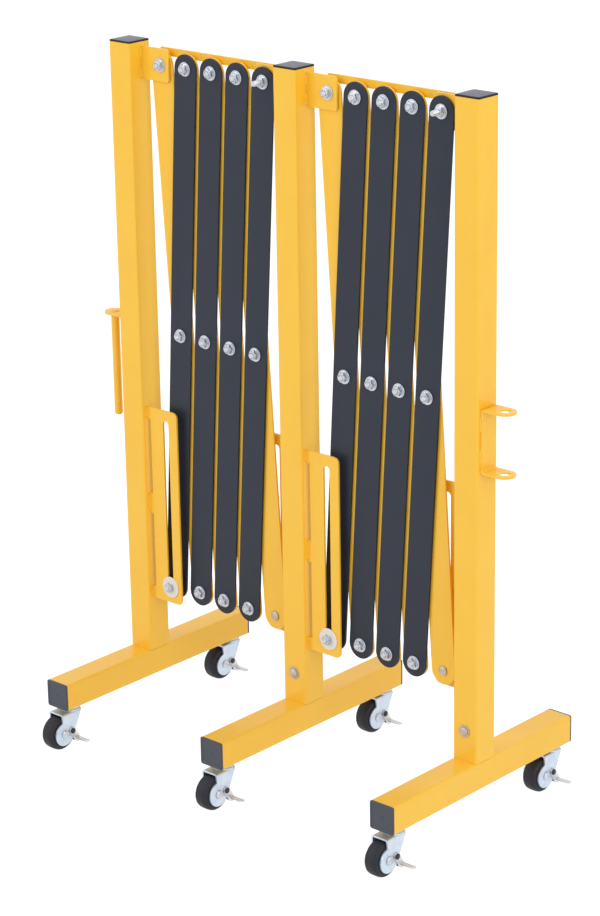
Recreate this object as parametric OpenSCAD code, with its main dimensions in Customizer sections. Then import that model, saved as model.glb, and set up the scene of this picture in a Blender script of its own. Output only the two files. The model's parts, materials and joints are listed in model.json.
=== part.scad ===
// Expandable barrier gate, folded up: three posts on wheeled feet, joined by two folding slat lattices.
// Millimetres. +X runs along the row of posts, -Y is the front, +Z is up and z = 0 is the floor.
// Each lattice has four black slats in front of four yellow ones. The first post of a lattice carries it
// on its +X side and the last post on its -X side. Slats turn on bolts in a top, a middle and a low row.

/* [Tubes] */
// Outside width of the square tube of posts and feet
tube_w = 40; // [30:1:45]
// Wall of the square tube
tube_t = 2; // [1.5:0.25:3]
// Outside corner radius of the square tube
tube_r = 3; // [2:0.5:5]
// Length of a post tube
post_h = 901; // [860:1:1100]
// Length of a foot tube
foot_len = 378; // [330:1:480]
// Height of the spigot that holds a post on its foot
spigot_h = 70; // [60:1:110]
// Free play between the spigot and the inside of the post
spigot_gap = 0.2; // [0.1:0.05:0.4]
// Height of the post bolt above the foot
foot_bolt_z = 44; // [30:1:50]
// Thickness of the flange of an end cap
cap_t = 3; // [2:0.5:5]
// Length of the plug of an end cap
cap_plug = 10; // [6:1:20]
// Free play around the plug of an end cap
cap_gap = 0.15; // [0.05:0.05:0.4]
// Width of the raised rim of a foot cap
cap_rim = 3; // [2:0.5:6]
// Height of the raised rim of a foot cap
cap_rim_h = 0.8; // [0.4:0.1:1.5]
// Diameter of the round mark in the middle of a foot cap
cap_mark_d = 4; // [2:0.5:8]

/* [Lattice] */
// Width of a slat
slat_w = 40; // [34:1:44]
// Thickness of a slat
slat_t = 3; // [2.5:0.25:4]
// Distance from the middle bolt of a slat to each end bolt
slat_half = 383.5; // [370:0.5:390]
// Distance between neighbouring bolts of the top row when the gate is closed
cell_closed = 48; // [44:1:60]
// Angle that each slat swings from closed to fully open
open_angle = 44; // [30:1:45]
// Free space between two layers of slats
layer_gap = 1; // [0.8:0.1:1.6]
// Distance from the side of a post to the first bolt of the lattice
pivot_out = 37.5; // [36:0.5:46]
// Distance from the top of a post down to the top row of bolts
pivot_drop = 28; // [26:1:40]

/* [Lugs and guides] */
// Height of a lug, the plate that holds the top bolt
lug_h = 46; // [40:1:50]
// Length of a lug past its bolt
lug_over = 16; // [12:0.5:20]
// Radius of the outer corners of a lug
lug_r = 5; // [2:0.5:10]
// Thickness of a guide, the slotted plate for the low bolt
guide_t = 3; // [2:0.25:4]
// Width of a guide past the middle of its slot
guide_over = 21.5; // [18:0.5:26]
// Length of a guide below the lowest place of its bolt
guide_below = 24.5; // [20:0.5:30]
// Length of a guide above the highest place of its bolt
guide_above = 21; // [18:0.5:30]
// Radius of the outer corners of a guide
guide_r = 8; // [2:0.5:10]
// Distance from the plane of the lugs forward to the front guides
guide_front_gap = 8; // [0:0.5:10]
// Distance from the plane of the rear lugs back to the rear guides
guide_rear_gap = 5; // [0:0.5:5]
// Free play on each side of the bolt in a slot
slot_gap = 1.5; // [0.2:0.1:2]
// Width of the slits between a guide and its post
slit_w = 7; // [2:0.25:8]
// Height of the weld tabs at the ends of a guide
weld_end = 18; // [12:1:24]
// Height of the weld tab at the middle of a guide
weld_mid = 31; // [20:1:40]

/* [Bolts] */
// Diameter of the bolts of the lattice
bolt_d = 8; // [6:0.5:9]
// Radial clearance of a bolt in a slat, lug or hole
fit = 0.05; // [0.02:0.01:0.1]
// Diameter of a front washer
washer_d = 20; // [18:0.5:22]
// Thickness of a washer
washer_t = 1.5; // [1:0.1:2]
// Width of a nut across its flats
nut_af = 13; // [12:0.5:14]
// Height of a nut
nut_h = 6.5; // [5:0.1:8]
// Length of thread that stands out of a nut
thread_out = 1.5; // [0.5:0.1:3]
// Length of thread that stands out of the nut of the last top bolt
thread_long = 11; // [4:0.5:14]
// Depth of the thread of a bolt
thread_depth = 0.3; // [0.2:0.05:0.5]
// Diameter of the round head behind the slats
head_d = 14; // [13:0.5:14.5]
// Height of a round head
head_h = 4; // [3:0.25:5]
// Height of the flat head of the low bolt of the last slat
flat_head_h = 3.6; // [3:0.1:4]
// Diameter of the washer under a post bolt
foot_washer_d = 18; // [16:0.5:20]
// Diameter of the spacer between two layers
spacer_d = 16; // [14:0.5:18]
// Diameter of the plastic washer that slides on a guide
slide_washer_d = 32; // [26:0.5:34]
// Free play between a sliding washer and its guide
slide_gap = 0.2; // [0.1:0.05:0.4]

/* [Hold-closed bar] */
// Height of the bar that holds a closed lattice together
latch_h = 11.5; // [9:0.5:14]
// Thickness of the bar
latch_t = 3; // [2:0.25:4]
// Free space between the round heads of the top bolts and the bar behind them
latch_gap = 0.3; // [0.2:0.1:1]
// Distance from the top bolts up to the lower edge of the bar
latch_rise = 11.5; // [11.5:0.25:13]
// Radius of the boss on which the bar turns
latch_boss_r = 11; // [8:0.5:12]
// Wall on each side of the notch of the hook
hook_wall = 4.5; // [3:0.5:6]
// Free play around the bolt in the notch
hook_gap = 0.4; // [0.3:0.05:0.6]
// Free space under the hook while the bar lies on top of its bolt
lip_gap = 0.4; // [0.3:0.05:0.8]
// Angle that the bar drops from lying on its bolt to hooked
latch_drop = 1.6; // [1.5:0.05:1.8]

/* [Casters] */
// Diameter of a wheel
wheel_d = 50; // [45:0.5:50]
// Width of a wheel
wheel_w = 21; // [18:0.5:24]
// Radius of the shoulders of the tread
tread_r = 4; // [2:0.5:6]
// Distance from the plug of a foot cap to the swivel axis of the caster
caster_in = 11; // [10.5:0.5:25]
// Distance that the axle trails behind the swivel axis
trail = 24; // [18:0.5:28]
// Diameter of the round hub of a wheel
hub_d = 16; // [14:0.5:20]
// Width of the raised rim on the face of a wheel
face_rim = 6; // [5:0.5:7]
// Depth of the face of a wheel between its rim and its hub
face_recess = 1.5; // [0.5:0.1:2]
// Thickness of the fork plate
fork_t = 2.5; // [2:0.25:3]
// Free space between the wheel and each leg of the fork
fork_gap = 1; // [0.6:0.1:2]
// Radius of the round lower end of a fork leg
lobe_r = 17.5; // [17:0.5:20]
// Free space between the wheel and the crown of the fork
crown_gap = 3.2; // [2.8:0.1:6]
// Length of the crown behind the swivel axis
crown_rear = 10; // [6:0.5:14]
// Length of the crown past the axle
crown_front = 4; // [2:0.5:6]
// Diameter of the axle
axle_d = 8; // [6:0.5:8]
// Diameter of the head of an axle
axle_head_d = 13; // [11:0.5:15]
// Height of the head of an axle
axle_head_h = 3.5; // [2.5:0.1:4.5]
// Length of the axle past its nut
axle_end = 3.5; // [1:0.1:5]
// Diameter of the king pin and stem
stem_d = 10; // [8:0.5:12]
// Width of the nut of a stem across its flats
stem_nut_af = 17; // [15:0.5:18]
// Height of the nut of a stem
stem_nut_h = 7.5; // [6:0.1:9]
// Length of the stem past its nut
stem_end = 1; // [0.5:0.1:3]
// Diameter of the head of the king pin
pin_head_d = 16; // [13:0.5:18]
// Height of the head of the king pin
pin_head_h = 2; // [1.5:0.1:2.5]
// Diameter of the swivel bearing
race_d = 30; // [24:0.5:34]
// Height of the lower half of the swivel bearing
race_h = 1.8; // [1.2:0.1:2.4]
// Height of the upper half of the swivel bearing
race_top_h = 4.2; // [3:0.1:8]
// Free play between turning faces of a caster
turn_gap = 0.3; // [0.2:0.05:0.4]

/* [Wheel brakes] */
// Distance of the brake rivet behind the axle
brake_back = 13; // [12.75:0.25:13.25]
// Height of the brake rivet above the axle
brake_up = 2; // [0:0.25:3]
// Diameter of the brake rivet
brake_rivet_d = 5; // [4:0.25:6]
// Diameter of the head of the brake rivet
brake_head_d = 8.5; // [7:0.25:9]
// Height of the head of the brake rivet
brake_head_h = 1.5; // [1:0.1:2]
// Free play between the brake lever, the fork and the rivet head
brake_gap = 0.3; // [0.2:0.05:0.4]
// Thickness of the brake lever
brake_t = 2; // [1.5:0.25:2.5]
// Radius of the brake lever around its rivet
brake_boss_r = 5.3; // [4.5:0.1:5.5]
// Angle of the brake shoe below level, seen from the axle
shoe_angle = 30; // [26:1:34]
// Length of the brake shoe around the tread
shoe_w = 9; // [7:0.5:10]
// Free space between the brake shoe and the tread
shoe_gap = 0.3; // [0.3:0.05:0.5]
// Width of the pedal of the brake lever
pedal_w = 7; // [5:0.5:7.5]
// Length of the pedal past the lever
pedal_len = 24; // [18:1:28]
// Distance of the pedal from the shoe along the lever
pedal_back = 2.8; // [2.5:0.1:3.5]
// Angle that the lever lifts to free the wheel
brake_lift = 25; // [15:1:26]

/* [Coupling] */
// Diameter of the coupling pin
pin_d = 12; // [8:0.5:13]
// Height of the tab of the coupling pin above the foot
tab_z = 503; // [495:1:560]
// Length of the coupling pin below its tab
pin_len = 153; // [130:1:180]
// Chamfer at the lower end of the coupling pin
pin_chamfer = 2; // [1:0.25:3]
// Height of the coupling pin above its tab
pin_over = 2; // [1:0.25:4]
// Thickness of the coupling tab and eyes
couple_t = 3; // [2:0.25:5]
// Distance from the side of a post to the axis of the coupling
couple_out = 29; // [25:0.5:36]
// Radius of the round end of the tab and the eyes
couple_r = 15; // [12:0.5:18]
// Diameter of the hole in a coupling eye
eye_d = 15; // [14:0.5:18]
// Height of the upper coupling eye above the foot
eye_z = 497; // [430:1:497]
// Distance from the upper to the lower coupling eye
eye_pitch = 85; // [50:1:120]

/* [Hidden] */
$fn = 48;
eps = 0.01;
n_cells = 4;

// Angles of a slat from upright, closed and open
theta = asin(cell_closed / (2 * slat_half));
theta_open = theta + open_angle;

// Places along the row
post_pitch = tube_w + 2 * pivot_out + n_cells * cell_closed;
first_bolt = tube_w / 2 + pivot_out;

// Heights
crown_z = wheel_d + crown_gap;
race_z = crown_z + fork_t + race_h;
caster_h = race_z + turn_gap + race_top_h;
foot_top = caster_h + tube_w;
post_top = foot_top + post_h;
top_z = post_top - pivot_drop;
mid_z = top_z - slat_half * cos(theta);
low_z = top_z - 2 * slat_half * cos(theta);
high_z = top_z - 2 * slat_half * cos(theta_open);

// Layers from front to rear, each the y of its front face
y_guide_front = -guide_front_gap - guide_t;
y_black = layer_gap;
y_yellow = y_black + slat_t + layer_gap;
y_rear = y_yellow + slat_t + layer_gap;
y_guide_rear = y_rear + guide_rear_gap;
y_latch = y_yellow + slat_t + head_h + latch_gap;
y_latch_end = y_latch + latch_t;

// Casters
wheel_r = wheel_d / 2;
caster_y = foot_len / 2 - cap_plug - caster_in;
fork_in = wheel_w / 2 + fork_gap;
fork_out = fork_in + fork_t;
brake_x = fork_out + brake_gap;
brake_x_end = brake_x + brake_t;
brake_z = wheel_r + brake_up;
shoe_r = wheel_r + shoe_gap + brake_t / 2;
shoe_y = shoe_r * cos(shoe_angle) - brake_back;
shoe_z = -shoe_r * sin(shoe_angle) - brake_up;
lever_len = norm([shoe_y, shoe_z]);

// The middle of the footprint lies on the origin
front_reach = max(foot_len / 2 + cap_t, caster_y + trail + wheel_r);
rear_reach = max(foot_len / 2 + cap_t, caster_y - trail + wheel_r);
base_y = (front_reach - rear_reach) / 2;

// Inside of the tube
bore_w = tube_w - 2 * tube_t;
bore_r = max(tube_r - tube_t, 0.5);
spigot_w = bore_w - 2 * spigot_gap;

yellow = [0.93, 0.66, 0.12];
black = [0.16, 0.17, 0.19];
zinc = [0.78, 0.80, 0.83];
steel = [0.62, 0.64, 0.67];

// Shapes that repeat

// Puts a piece, drawn around the plane of the posts, into the frame of the whole gate
module at_base() {
    translate([0, base_y, 0]) children();
}

// A flat plate in the XZ plane, from y0 to y0 + t
module plate_xz(y0, t) {
    translate([0, y0 + t, 0]) rotate([90, 0, 0]) linear_extrude(t) children();
}

// A flat plate in the YZ plane, from x0 to x0 + t
module plate_yz(x0, t) {
    translate([x0, 0, 0]) rotate([90, 0, 90]) linear_extrude(t) children();
}

// A rod along Y, from y0 to y1
module rod_y(x, z, y0, y1, r) {
    translate([x, y1, z]) rotate([90, 0, 0]) cylinder(h = y1 - y0, r = r);
}

// A rod along X, from x0 to x1
module rod_x(y, z, x0, x1, r) {
    translate([x0, y, z]) rotate([0, 90, 0]) cylinder(h = x1 - x0, r = r);
}

// A hexagon along Y, from y0 to y1, af across its flats
module hex_y(x, z, y0, y1, af) {
    translate([x, y1, z]) rotate([90, 0, 0]) cylinder(h = y1 - y0, r = af / 2 / cos(30), $fn = 6);
}

// A hexagon along X, from x0 to x1
module hex_x(y, z, x0, x1, af) {
    translate([x0, y, z]) rotate([0, 90, 0]) cylinder(h = x1 - x0, r = af / 2 / cos(30), $fn = 6);
}

// A round head on the plane y0 that narrows towards y0 + h, or towards y0 - h if front is true
module head_y(x, z, y0, h, d, front = false) {
    translate([x, y0, z]) rotate([front ? 90 : -90, 0, 0]) {
        cylinder(h = h * 0.45, d = d);
        translate([0, 0, h * 0.45 - eps]) cylinder(h = h * 0.55 + eps, d1 = d, d2 = d * 0.62);
    }
}

// A square with round corners
module round_square(w, r) {
    square([w - 2 * r, w], center = true);
    square([w, w - 2 * r], center = true);
    for (sx = [-1, 1], sy = [-1, 1])
        translate([sx * (w / 2 - r), sy * (w / 2 - r)]) circle(r = r);
}

// A solid square bar that stands on z = 0
module square_bar(w, r, h) {
    linear_extrude(h) round_square(w, r);
}

// A square tube that stands on z = 0
module square_tube(w, t, r, ri, h) {
    difference() {
        square_bar(w, r, h);
        translate([0, 0, -1]) square_bar(w - 2 * t, ri, h + 2);
    }
}

// The outline from x0 to x1 and z0 to z1, with round corners on the side of x1
module tongue(x0, x1, z0, z1, r) {
    s = x1 > x0 ? 1 : -1;
    translate([min(x0, x1 - s * r), z0]) square([abs(x1 - x0) - r, z1 - z0]);
    translate([min(x1 - s * r, x1), z0 + r]) square([r, z1 - z0 - 2 * r]);
    for (z = [z0 + r, z1 - r])
        translate([x1 - s * r, z]) circle(r = r);
}

// Where the line from point p touches the circle of radius r around c, on the side s
function touch(p, c, r, s) =
    let (d = norm(p - c), a = atan2(p[1] - c[1], p[0] - c[0]), b = acos(r / d))
    c + r * [cos(a + s * b), sin(a + s * b)];

// Posts, feet and caps

// A post tube; side is -1 if its foot bolt enters from the front, +1 from the rear
module post_tube(px, side) {
    difference() {
        translate([px, 0, foot_top]) square_tube(tube_w, tube_t, tube_r, bore_r, post_h);
        rod_y(px, foot_top + foot_bolt_z, min(0, side * tube_w), max(0, side * tube_w), bolt_d / 2 + fit);
    }
}

// A foot tube with its spigot, its inner nut plate and the holes for two caster stems
module foot_frame(px, side) {
    nut_y = side > 0 ? spigot_w / 2 - tube_t - nut_h / 2 : tube_t - spigot_w / 2;
    difference() {
        union() {
            translate([px, foot_len / 2, caster_h + tube_w / 2]) rotate([90, 0, 0])
                square_tube(tube_w, tube_t, tube_r, bore_r, foot_len);
            translate([px, 0, foot_top - tube_t / 2])
                square_tube(spigot_w, tube_t, bore_r, bore_r, spigot_h + tube_t / 2);
            translate([px - nut_af / 2, nut_y, foot_top + foot_bolt_z - nut_af / 2])
                cube([nut_af, nut_h / 2, nut_af]);
        }
        rod_y(px, foot_top + foot_bolt_z, min(0, side * tube_w), max(0, side * tube_w), bolt_d / 2 + fit);
        for (s = [-1, 1])
            translate([px, s * caster_y, caster_h - 1]) cylinder(h = tube_t + 2, d = stem_d + 2 * fit);
    }
}

// The cap of a foot end, drawn on the plane y = 0 and pointing to -Y
module foot_cap() {
    rotate([90, 0, 0]) {
        difference() {
            square_bar(tube_w, tube_r, cap_t);
            translate([0, 0, cap_t - cap_rim_h]) square_bar(tube_w - 2 * cap_rim, tube_r, cap_rim_h + 1);
        }
        cylinder(h = cap_t, d = cap_mark_d);
    }
    translate([0, cap_plug, 0]) rotate([90, 0, 0])
        square_tube(bore_w - 2 * cap_gap, tube_t, bore_r, bore_r, cap_plug + eps);
}

module cap_set(px) {
    color(black) {
        translate([px, 0, post_top]) {
            square_bar(tube_w, tube_r, cap_t);
            translate([0, 0, -cap_plug])
                square_tube(bore_w - 2 * cap_gap, tube_t, bore_r, bore_r, cap_plug + eps);
        }
        translate([px, -foot_len / 2, caster_h + tube_w / 2]) foot_cap();
        translate([px, foot_len / 2, caster_h + tube_w / 2]) rotate([0, 0, 180]) foot_cap();
    }
}

// Lugs, guides and coupling parts, welded to the posts

// The lug on the side s of a post, its front face at y0
module lug(px, s, y0) {
    difference() {
        plate_xz(y0, slat_t)
            tongue(px + s * tube_w / 2, px + s * (first_bolt + lug_over),
                top_z - lug_h / 2, top_z + lug_h / 2, lug_r);
        rod_y(px + s * first_bolt, top_z, y0 - 1, y0 + slat_t + 1, bolt_d / 2 + fit);
    }
}

// The slotted guide on the side s of a post, its front face at y0
module guide(px, s, y0) {
    z0 = low_z - guide_below;
    z1 = high_z + guide_above;
    zc = (z0 + z1) / 2;
    r = bolt_d / 2 + slot_gap;
    xs = px + s * first_bolt;
    difference() {
        plate_xz(y0, guide_t) {
            tongue(px + s * (tube_w / 2 + slit_w), px + s * (first_bolt + guide_over), z0, z1, guide_r);
            for (w = [[z0, weld_end], [zc - weld_mid / 2, weld_mid], [z1 - weld_end, weld_end]])
                translate([px + s * (tube_w / 2 + slit_w / 2) - slit_w / 2 - 0.5, w[0]])
                    square([slit_w + 0.5 + (s > 0 ? 0.5 : 0), w[1]]);
        }
        plate_xz(y0 - 1, guide_t + 2) translate([xs - r, low_z]) square([2 * r, high_z - low_z]);
        for (z = [low_z, high_z]) rod_y(xs, z, y0 - 1, y0 + guide_t + 1, r);
        // the side of the post cuts the weld tabs flush
        translate([px - tube_w / 2, y0 - 1, z0 - 1]) cube([tube_w, guide_t + 2, z1 - z0 + 2]);
    }
}

// A flat eye that reaches out on the side s of a post; z is its middle
module eye_plate(px, s, z) {
    x0 = s > 0 ? px + tube_w / 2 : px - tube_w / 2 - couple_out;
    translate([x0, -couple_r, z - couple_t / 2]) cube([couple_out, 2 * couple_r, couple_t]);
    translate([px + s * (tube_w / 2 + couple_out), 0, z - couple_t / 2])
        cylinder(h = couple_t, r = couple_r);
}

// The tab with the pin that drops into the eyes of the next gate
module coupling_pin(px) {
    x = px - tube_w / 2 - couple_out;
    z = foot_top + tab_z;
    eye_plate(px, -1, z);
    translate([x, 0, z - couple_t / 2 - pin_len + pin_chamfer])
        cylinder(h = pin_len - pin_chamfer + couple_t + pin_over, d = pin_d);
    translate([x, 0, z - couple_t / 2 - pin_len])
        cylinder(h = pin_chamfer + eps, d1 = pin_d - 2 * pin_chamfer, d2 = pin_d);
}

// The bent bracket with the two eyes
module coupling_eyes(px) {
    x = px + tube_w / 2 + couple_out;
    zu = foot_top + eye_z;
    zl = zu - eye_pitch;
    difference() {
        union() {
            eye_plate(px, 1, zu);
            eye_plate(px, 1, zl);
            translate([px + tube_w / 2, -couple_r, zl - couple_t / 2])
                cube([couple_t, 2 * couple_r, eye_pitch + couple_t]);
        }
        translate([x, 0, zl - couple_t]) cylinder(h = eye_pitch + 2 * couple_t, d = eye_d);
    }
}

// Lug and guide where a lattice starts, on the +X side
module start_brackets(px) {
    lug(px, 1, y_black);
    guide(px, 1, y_guide_front);
}

// Lug and guide where a lattice ends, on the -X side
module end_brackets(px) {
    lug(px, -1, y_yellow);
    guide(px, -1, y_guide_rear);
}

// Bolts

// Washer, nut and thread end in front of the plane y0, thread_l long past the nut
module front_nut(x, z, y0, thread_l) {
    y1 = y0 - washer_t;
    rod_y(x, z, y1, y0, washer_d / 2);
    hex_y(x, z, y1 - nut_h, y1 + eps, nut_af);
    rod_y(x, z, y1 - nut_h - thread_l, y1, bolt_d / 2 - thread_depth);
}

// A bolt through the black and the yellow layer
module pivot_bolt(x, z) {
    front_nut(x, z, y_black, thread_out);
    rod_y(x, z, y_black - eps, y_rear, bolt_d / 2);
    rod_y(x, z, y_black + slat_t, y_yellow, spacer_d / 2);
    head_y(x, z, y_rear - layer_gap, head_h, head_d);
}

// The last top bolt, which also carries the hold-closed bar behind the lug
module last_bolt(x, z) {
    front_nut(x, z, y_black, thread_long);
    rod_y(x, z, y_black - eps, y_latch_end + 1, bolt_d / 2);
    rod_y(x, z, y_black + slat_t, y_yellow, spacer_d / 2);
    rod_y(x, z, y_yellow + slat_t, y_latch, spacer_d / 2);
    head_y(x, z, y_latch_end, head_h, head_d);
}

// The first top bolt, fixed in its lug, with a free length of shank for the hook
module first_bolt_set(x, z) {
    front_nut(x, z, y_black, thread_out);
    rod_y(x, z, y_black - eps, y_latch_end + 1, bolt_d / 2);
    rod_y(x, z, y_black + slat_t, y_yellow, spacer_d / 2);
    rod_y(x, z, y_yellow + slat_t, y_latch - slide_gap, spacer_d / 2);
    head_y(x, z, y_latch_end + 2 * slide_gap, head_h, head_d);
}

// The low bolt of the first black slat, which slides in the front guide
module front_slide_bolt(x, z) {
    front = y_guide_front - slide_gap;
    rod_y(x, z, front - washer_t, front, slide_washer_d / 2);
    hex_y(x, z, front - washer_t - nut_h, front - washer_t + eps, nut_af);
    rod_y(x, z, front - washer_t - nut_h - thread_out, y_black + slat_t + 1, bolt_d / 2);
    rod_y(x, z, y_guide_front + guide_t + slide_gap, y_black, spacer_d / 2);
    head_y(x, z, y_black + slat_t, head_h, head_d);
}

// The low bolt of the last yellow slat, which slides in the rear guide
module rear_slide_bolt(x, z) {
    rear = y_guide_rear + guide_t + slide_gap;
    rod_y(x, z, rear, rear + washer_t, slide_washer_d / 2);
    hex_y(x, z, rear + washer_t - eps, rear + washer_t + nut_h, nut_af);
    rod_y(x, z, y_yellow - 1, rear + washer_t + nut_h + thread_out, bolt_d / 2);
    rod_y(x, z, y_yellow + slat_t, y_guide_rear - slide_gap, spacer_d / 2);
    head_y(x, z, y_yellow, flat_head_h, head_d, true);
}

// Slats

// Puts a piece that is drawn around the middle bolt of a slat into its place.
// pl is 0 for the left lattice and 1 for the right one, k is 1 to 4, lean is 1 for black, -1 for yellow.
module at_slat(pl, k, lean) {
    x = (pl - 1) * post_pitch + first_bolt + (k - 0.5) * cell_closed;
    at_base() translate([x, 0, mid_z]) rotate([0, lean * theta, 0]) children();
}

// A flat slat with round ends and three holes, its front face at y0
module slat(y0) {
    difference() {
        plate_xz(y0, slat_t) {
            square([slat_w, 2 * slat_half], center = true);
            for (s = [-1, 1]) translate([0, s * slat_half]) circle(d = slat_w);
        }
        for (z = [-slat_half, 0, slat_half]) rod_y(0, z, y0 - 1, y0 + slat_t + 1, bolt_d / 2 + fit);
    }
}

module black_slat(pl, k) {
    color(black) at_slat(pl, k, 1) slat(y_black);
}

module yellow_slat(pl, k) {
    color(yellow) at_slat(pl, k, -1) {
        slat(y_yellow);
        if (k == n_cells) rear_slide_bolt(0, -slat_half);
    }
}

// The three bolts that a black slat carries
module slat_bolts(pl, k) {
    color(zinc) at_slat(pl, k, 1) {
        if (k == n_cells) last_bolt(0, slat_half);
        else pivot_bolt(0, slat_half);
        pivot_bolt(0, 0);
        if (k == 1) front_slide_bolt(0, -slat_half);
        else pivot_bolt(0, -slat_half);
    }
}

// The bar that turns on the last top bolt and hooks over the first one
module latch(pl) {
    x4 = (pl - 1) * post_pitch + first_bolt + n_cells * cell_closed;
    span = n_cells * cell_closed;
    notch_r = bolt_d / 2 + hook_gap;
    notch_z = span * sin(latch_drop);
    lip_z = bolt_d / 2 + lip_gap;
    end_x = -span - notch_r - hook_wall;
    color(yellow) at_base() translate([x4, 0, top_z]) difference() {
        plate_xz(y_latch, latch_t) {
            translate([end_x, latch_rise]) square([latch_boss_r - end_x, latch_h]);
            translate([end_x, lip_z]) square([2 * (notch_r + hook_wall), latch_rise + 1 - lip_z]);
            translate([-latch_boss_r, 0]) square([2 * latch_boss_r, latch_rise + 1]);
            circle(r = latch_boss_r);
        }
        rod_y(0, 0, y_latch - 1, y_latch_end + 1, bolt_d / 2 + fit);
        rod_y(-span, notch_z, y_latch - 1, y_latch_end + 1, notch_r);
        translate([-span - notch_r, y_latch - 1, lip_z - 1])
            cube([2 * notch_r, latch_t + 2, notch_z - lip_z + 1]);
    }
}

// Bolts and caster stems that stay with a post

// Stem, upper bearing half and king pin of a caster, and the nut inside the foot
module caster_stem(px, y) {
    head_z = crown_z - turn_gap;
    stem_top = caster_h + tube_t + stem_nut_h + stem_end;
    translate([px, y, 0]) {
        translate([0, 0, race_z + turn_gap]) cylinder(h = race_top_h, d = race_d);
        translate([0, 0, head_z - pin_head_h]) cylinder(h = pin_head_h, d = pin_head_d);
        translate([0, 0, head_z - eps]) cylinder(h = stem_top - head_z + eps, d = stem_d);
        translate([0, 0, caster_h + tube_t])
            cylinder(h = stem_nut_h, r = stem_nut_af / 2 / cos(30), $fn = 6);
    }
}

// The bolt that holds a post on its foot
module foot_bolt(px, side) {
    z = foot_top + foot_bolt_z;
    y0 = side * tube_w / 2;
    y1 = side * (spigot_w / 2 - tube_t - nut_h);
    rod_y(px, z, min(y0, y1), max(y0, y1), bolt_d / 2);
    rod_y(px, z, side > 0 ? y0 : y0 - washer_t, side > 0 ? y0 + washer_t : y0, foot_washer_d / 2);
    head_y(px, z, y0 + side * washer_t, head_h, head_d, side < 0);
}

module hardware(px, side, with_first) {
    color(zinc) at_base() {
        for (s = [-1, 1]) caster_stem(px, s * caster_y);
        foot_bolt(px, side);
        if (with_first) first_bolt_set(px + first_bolt, top_z);
    }
}

// Casters, drawn around their swivel axis

// s is -1 for the front caster of a foot and 1 for the rear one
module at_caster(px, s) {
    at_base() translate([px, s * caster_y, 0]) children();
}

// Outline of a fork leg in Y and Z
module leg_outline() {
    c = [-trail, wheel_r];
    tl = [-trail - crown_front, crown_z + fork_t];
    tr = [crown_rear, crown_z + fork_t];
    polygon([tl, tr, touch(tr, c, lobe_r, -1), c, [-trail - crown_front, wheel_r]]);
    translate(c) circle(r = lobe_r);
}

module fork(px, s) {
    crown_y0 = -trail - crown_front;
    color(zinc) at_caster(px, s) {
        difference() {
            union() {
                plate_yz(-fork_out, fork_t) leg_outline();
                plate_yz(fork_in, fork_t) leg_outline();
                translate([-fork_out, crown_y0, crown_z])
                    cube([2 * fork_out, crown_rear - crown_y0, fork_t]);
                translate([0, 0, crown_z]) cylinder(h = fork_t + race_h, d = race_d);
            }
            translate([0, 0, crown_z - 1]) cylinder(h = fork_t + race_h + 2, d = stem_d + 2 * fit);
        }
        // axle with its head and nut
        rod_x(-trail, wheel_r, -fork_out - nut_h - axle_end, fork_out + eps, axle_d / 2);
        rod_x(-trail, wheel_r, fork_out, fork_out + axle_head_h, axle_head_d / 2);
        hex_x(-trail, wheel_r, -fork_out - nut_h, -fork_out, nut_af);
        // rivet of the brake lever
        rod_x(brake_back - trail, brake_z, fork_out - eps, brake_x_end + brake_gap + eps, brake_rivet_d / 2);
        rod_x(brake_back - trail, brake_z, brake_x_end + brake_gap,
            brake_x_end + brake_gap + brake_head_h, brake_head_d / 2);
    }
}

// Tread, shoulders and hub of a wheel as one turned profile
module wheel(px, s) {
    w = wheel_w / 2;
    bore_r0 = axle_d / 2 + fit;
    tread_r0 = wheel_r - tread_r;
    color(black) at_caster(px, s) translate([0, -trail, wheel_r]) rotate([0, 90, 0])
        rotate_extrude()
            difference() {
                union() {
                    translate([bore_r0, -w]) square([tread_r0 - bore_r0, 2 * w]);
                    translate([tread_r0 - eps, tread_r - w]) square([tread_r + eps, 2 * (w - tread_r)]);
                    for (e = [-1, 1])
                        intersection() {
                            translate([tread_r0, e * (w - tread_r)]) circle(r = tread_r);
                            translate([tread_r0, e > 0 ? 0 : -w]) square([tread_r, w]);
                        }
                }
                for (y = [-w, w - face_recess])
                    translate([hub_d / 2, y]) square([wheel_r - face_rim - hub_d / 2, face_recess]);
            }
}

// Outline of a brake lever in Y and Z, around its rivet: two rounds and the strip that touches both
module lever_outline() {
    low = [shoe_y, shoe_z];
    low_r = norm([shoe_w, brake_t]) / 2 + brake_gap;
    along = atan2(shoe_z, shoe_y);
    lean = acos((brake_boss_r - low_r) / lever_len);
    front = [cos(along - lean), sin(along - lean)];
    back = [cos(along + lean), sin(along + lean)];
    polygon([brake_boss_r * front, low + low_r * front, low + low_r * back, brake_boss_r * back]);
    circle(r = brake_boss_r);
    translate(low) circle(r = low_r);
}

// Lever of a wheel brake, pressed down, with its shoe behind the tread and its pedal to the side
module brake(px, s) {
    pedal_y = shoe_y * (1 - pedal_back / lever_len);
    pedal_z = shoe_z * (1 - pedal_back / lever_len);
    tip = brake_x_end + pedal_len;
    shoe_x = wheel_w / 2 - tread_r;
    color(steel) at_caster(px, s) translate([0, brake_back - trail, brake_z]) difference() {
        union() {
            plate_yz(brake_x, brake_t) lever_outline();
            plate_yz(-shoe_x, brake_x + brake_t / 2 + shoe_x) translate([shoe_y, shoe_z])
                rotate([0, 0, -shoe_angle]) square([brake_t, shoe_w], center = true);
            translate([brake_x_end - 1, pedal_y - pedal_w / 2, pedal_z - brake_t / 2])
                cube([tip - pedal_w / 2 - brake_x_end + 1, pedal_w, brake_t]);
            translate([tip - pedal_w / 2, pedal_y, pedal_z - brake_t / 2])
                cylinder(h = brake_t, r = pedal_w / 2);
        }
        rod_x(0, 0, brake_x - 1, brake_x_end + 1, brake_rivet_d / 2 + fit);
    }
}

// One module for each piece

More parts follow.
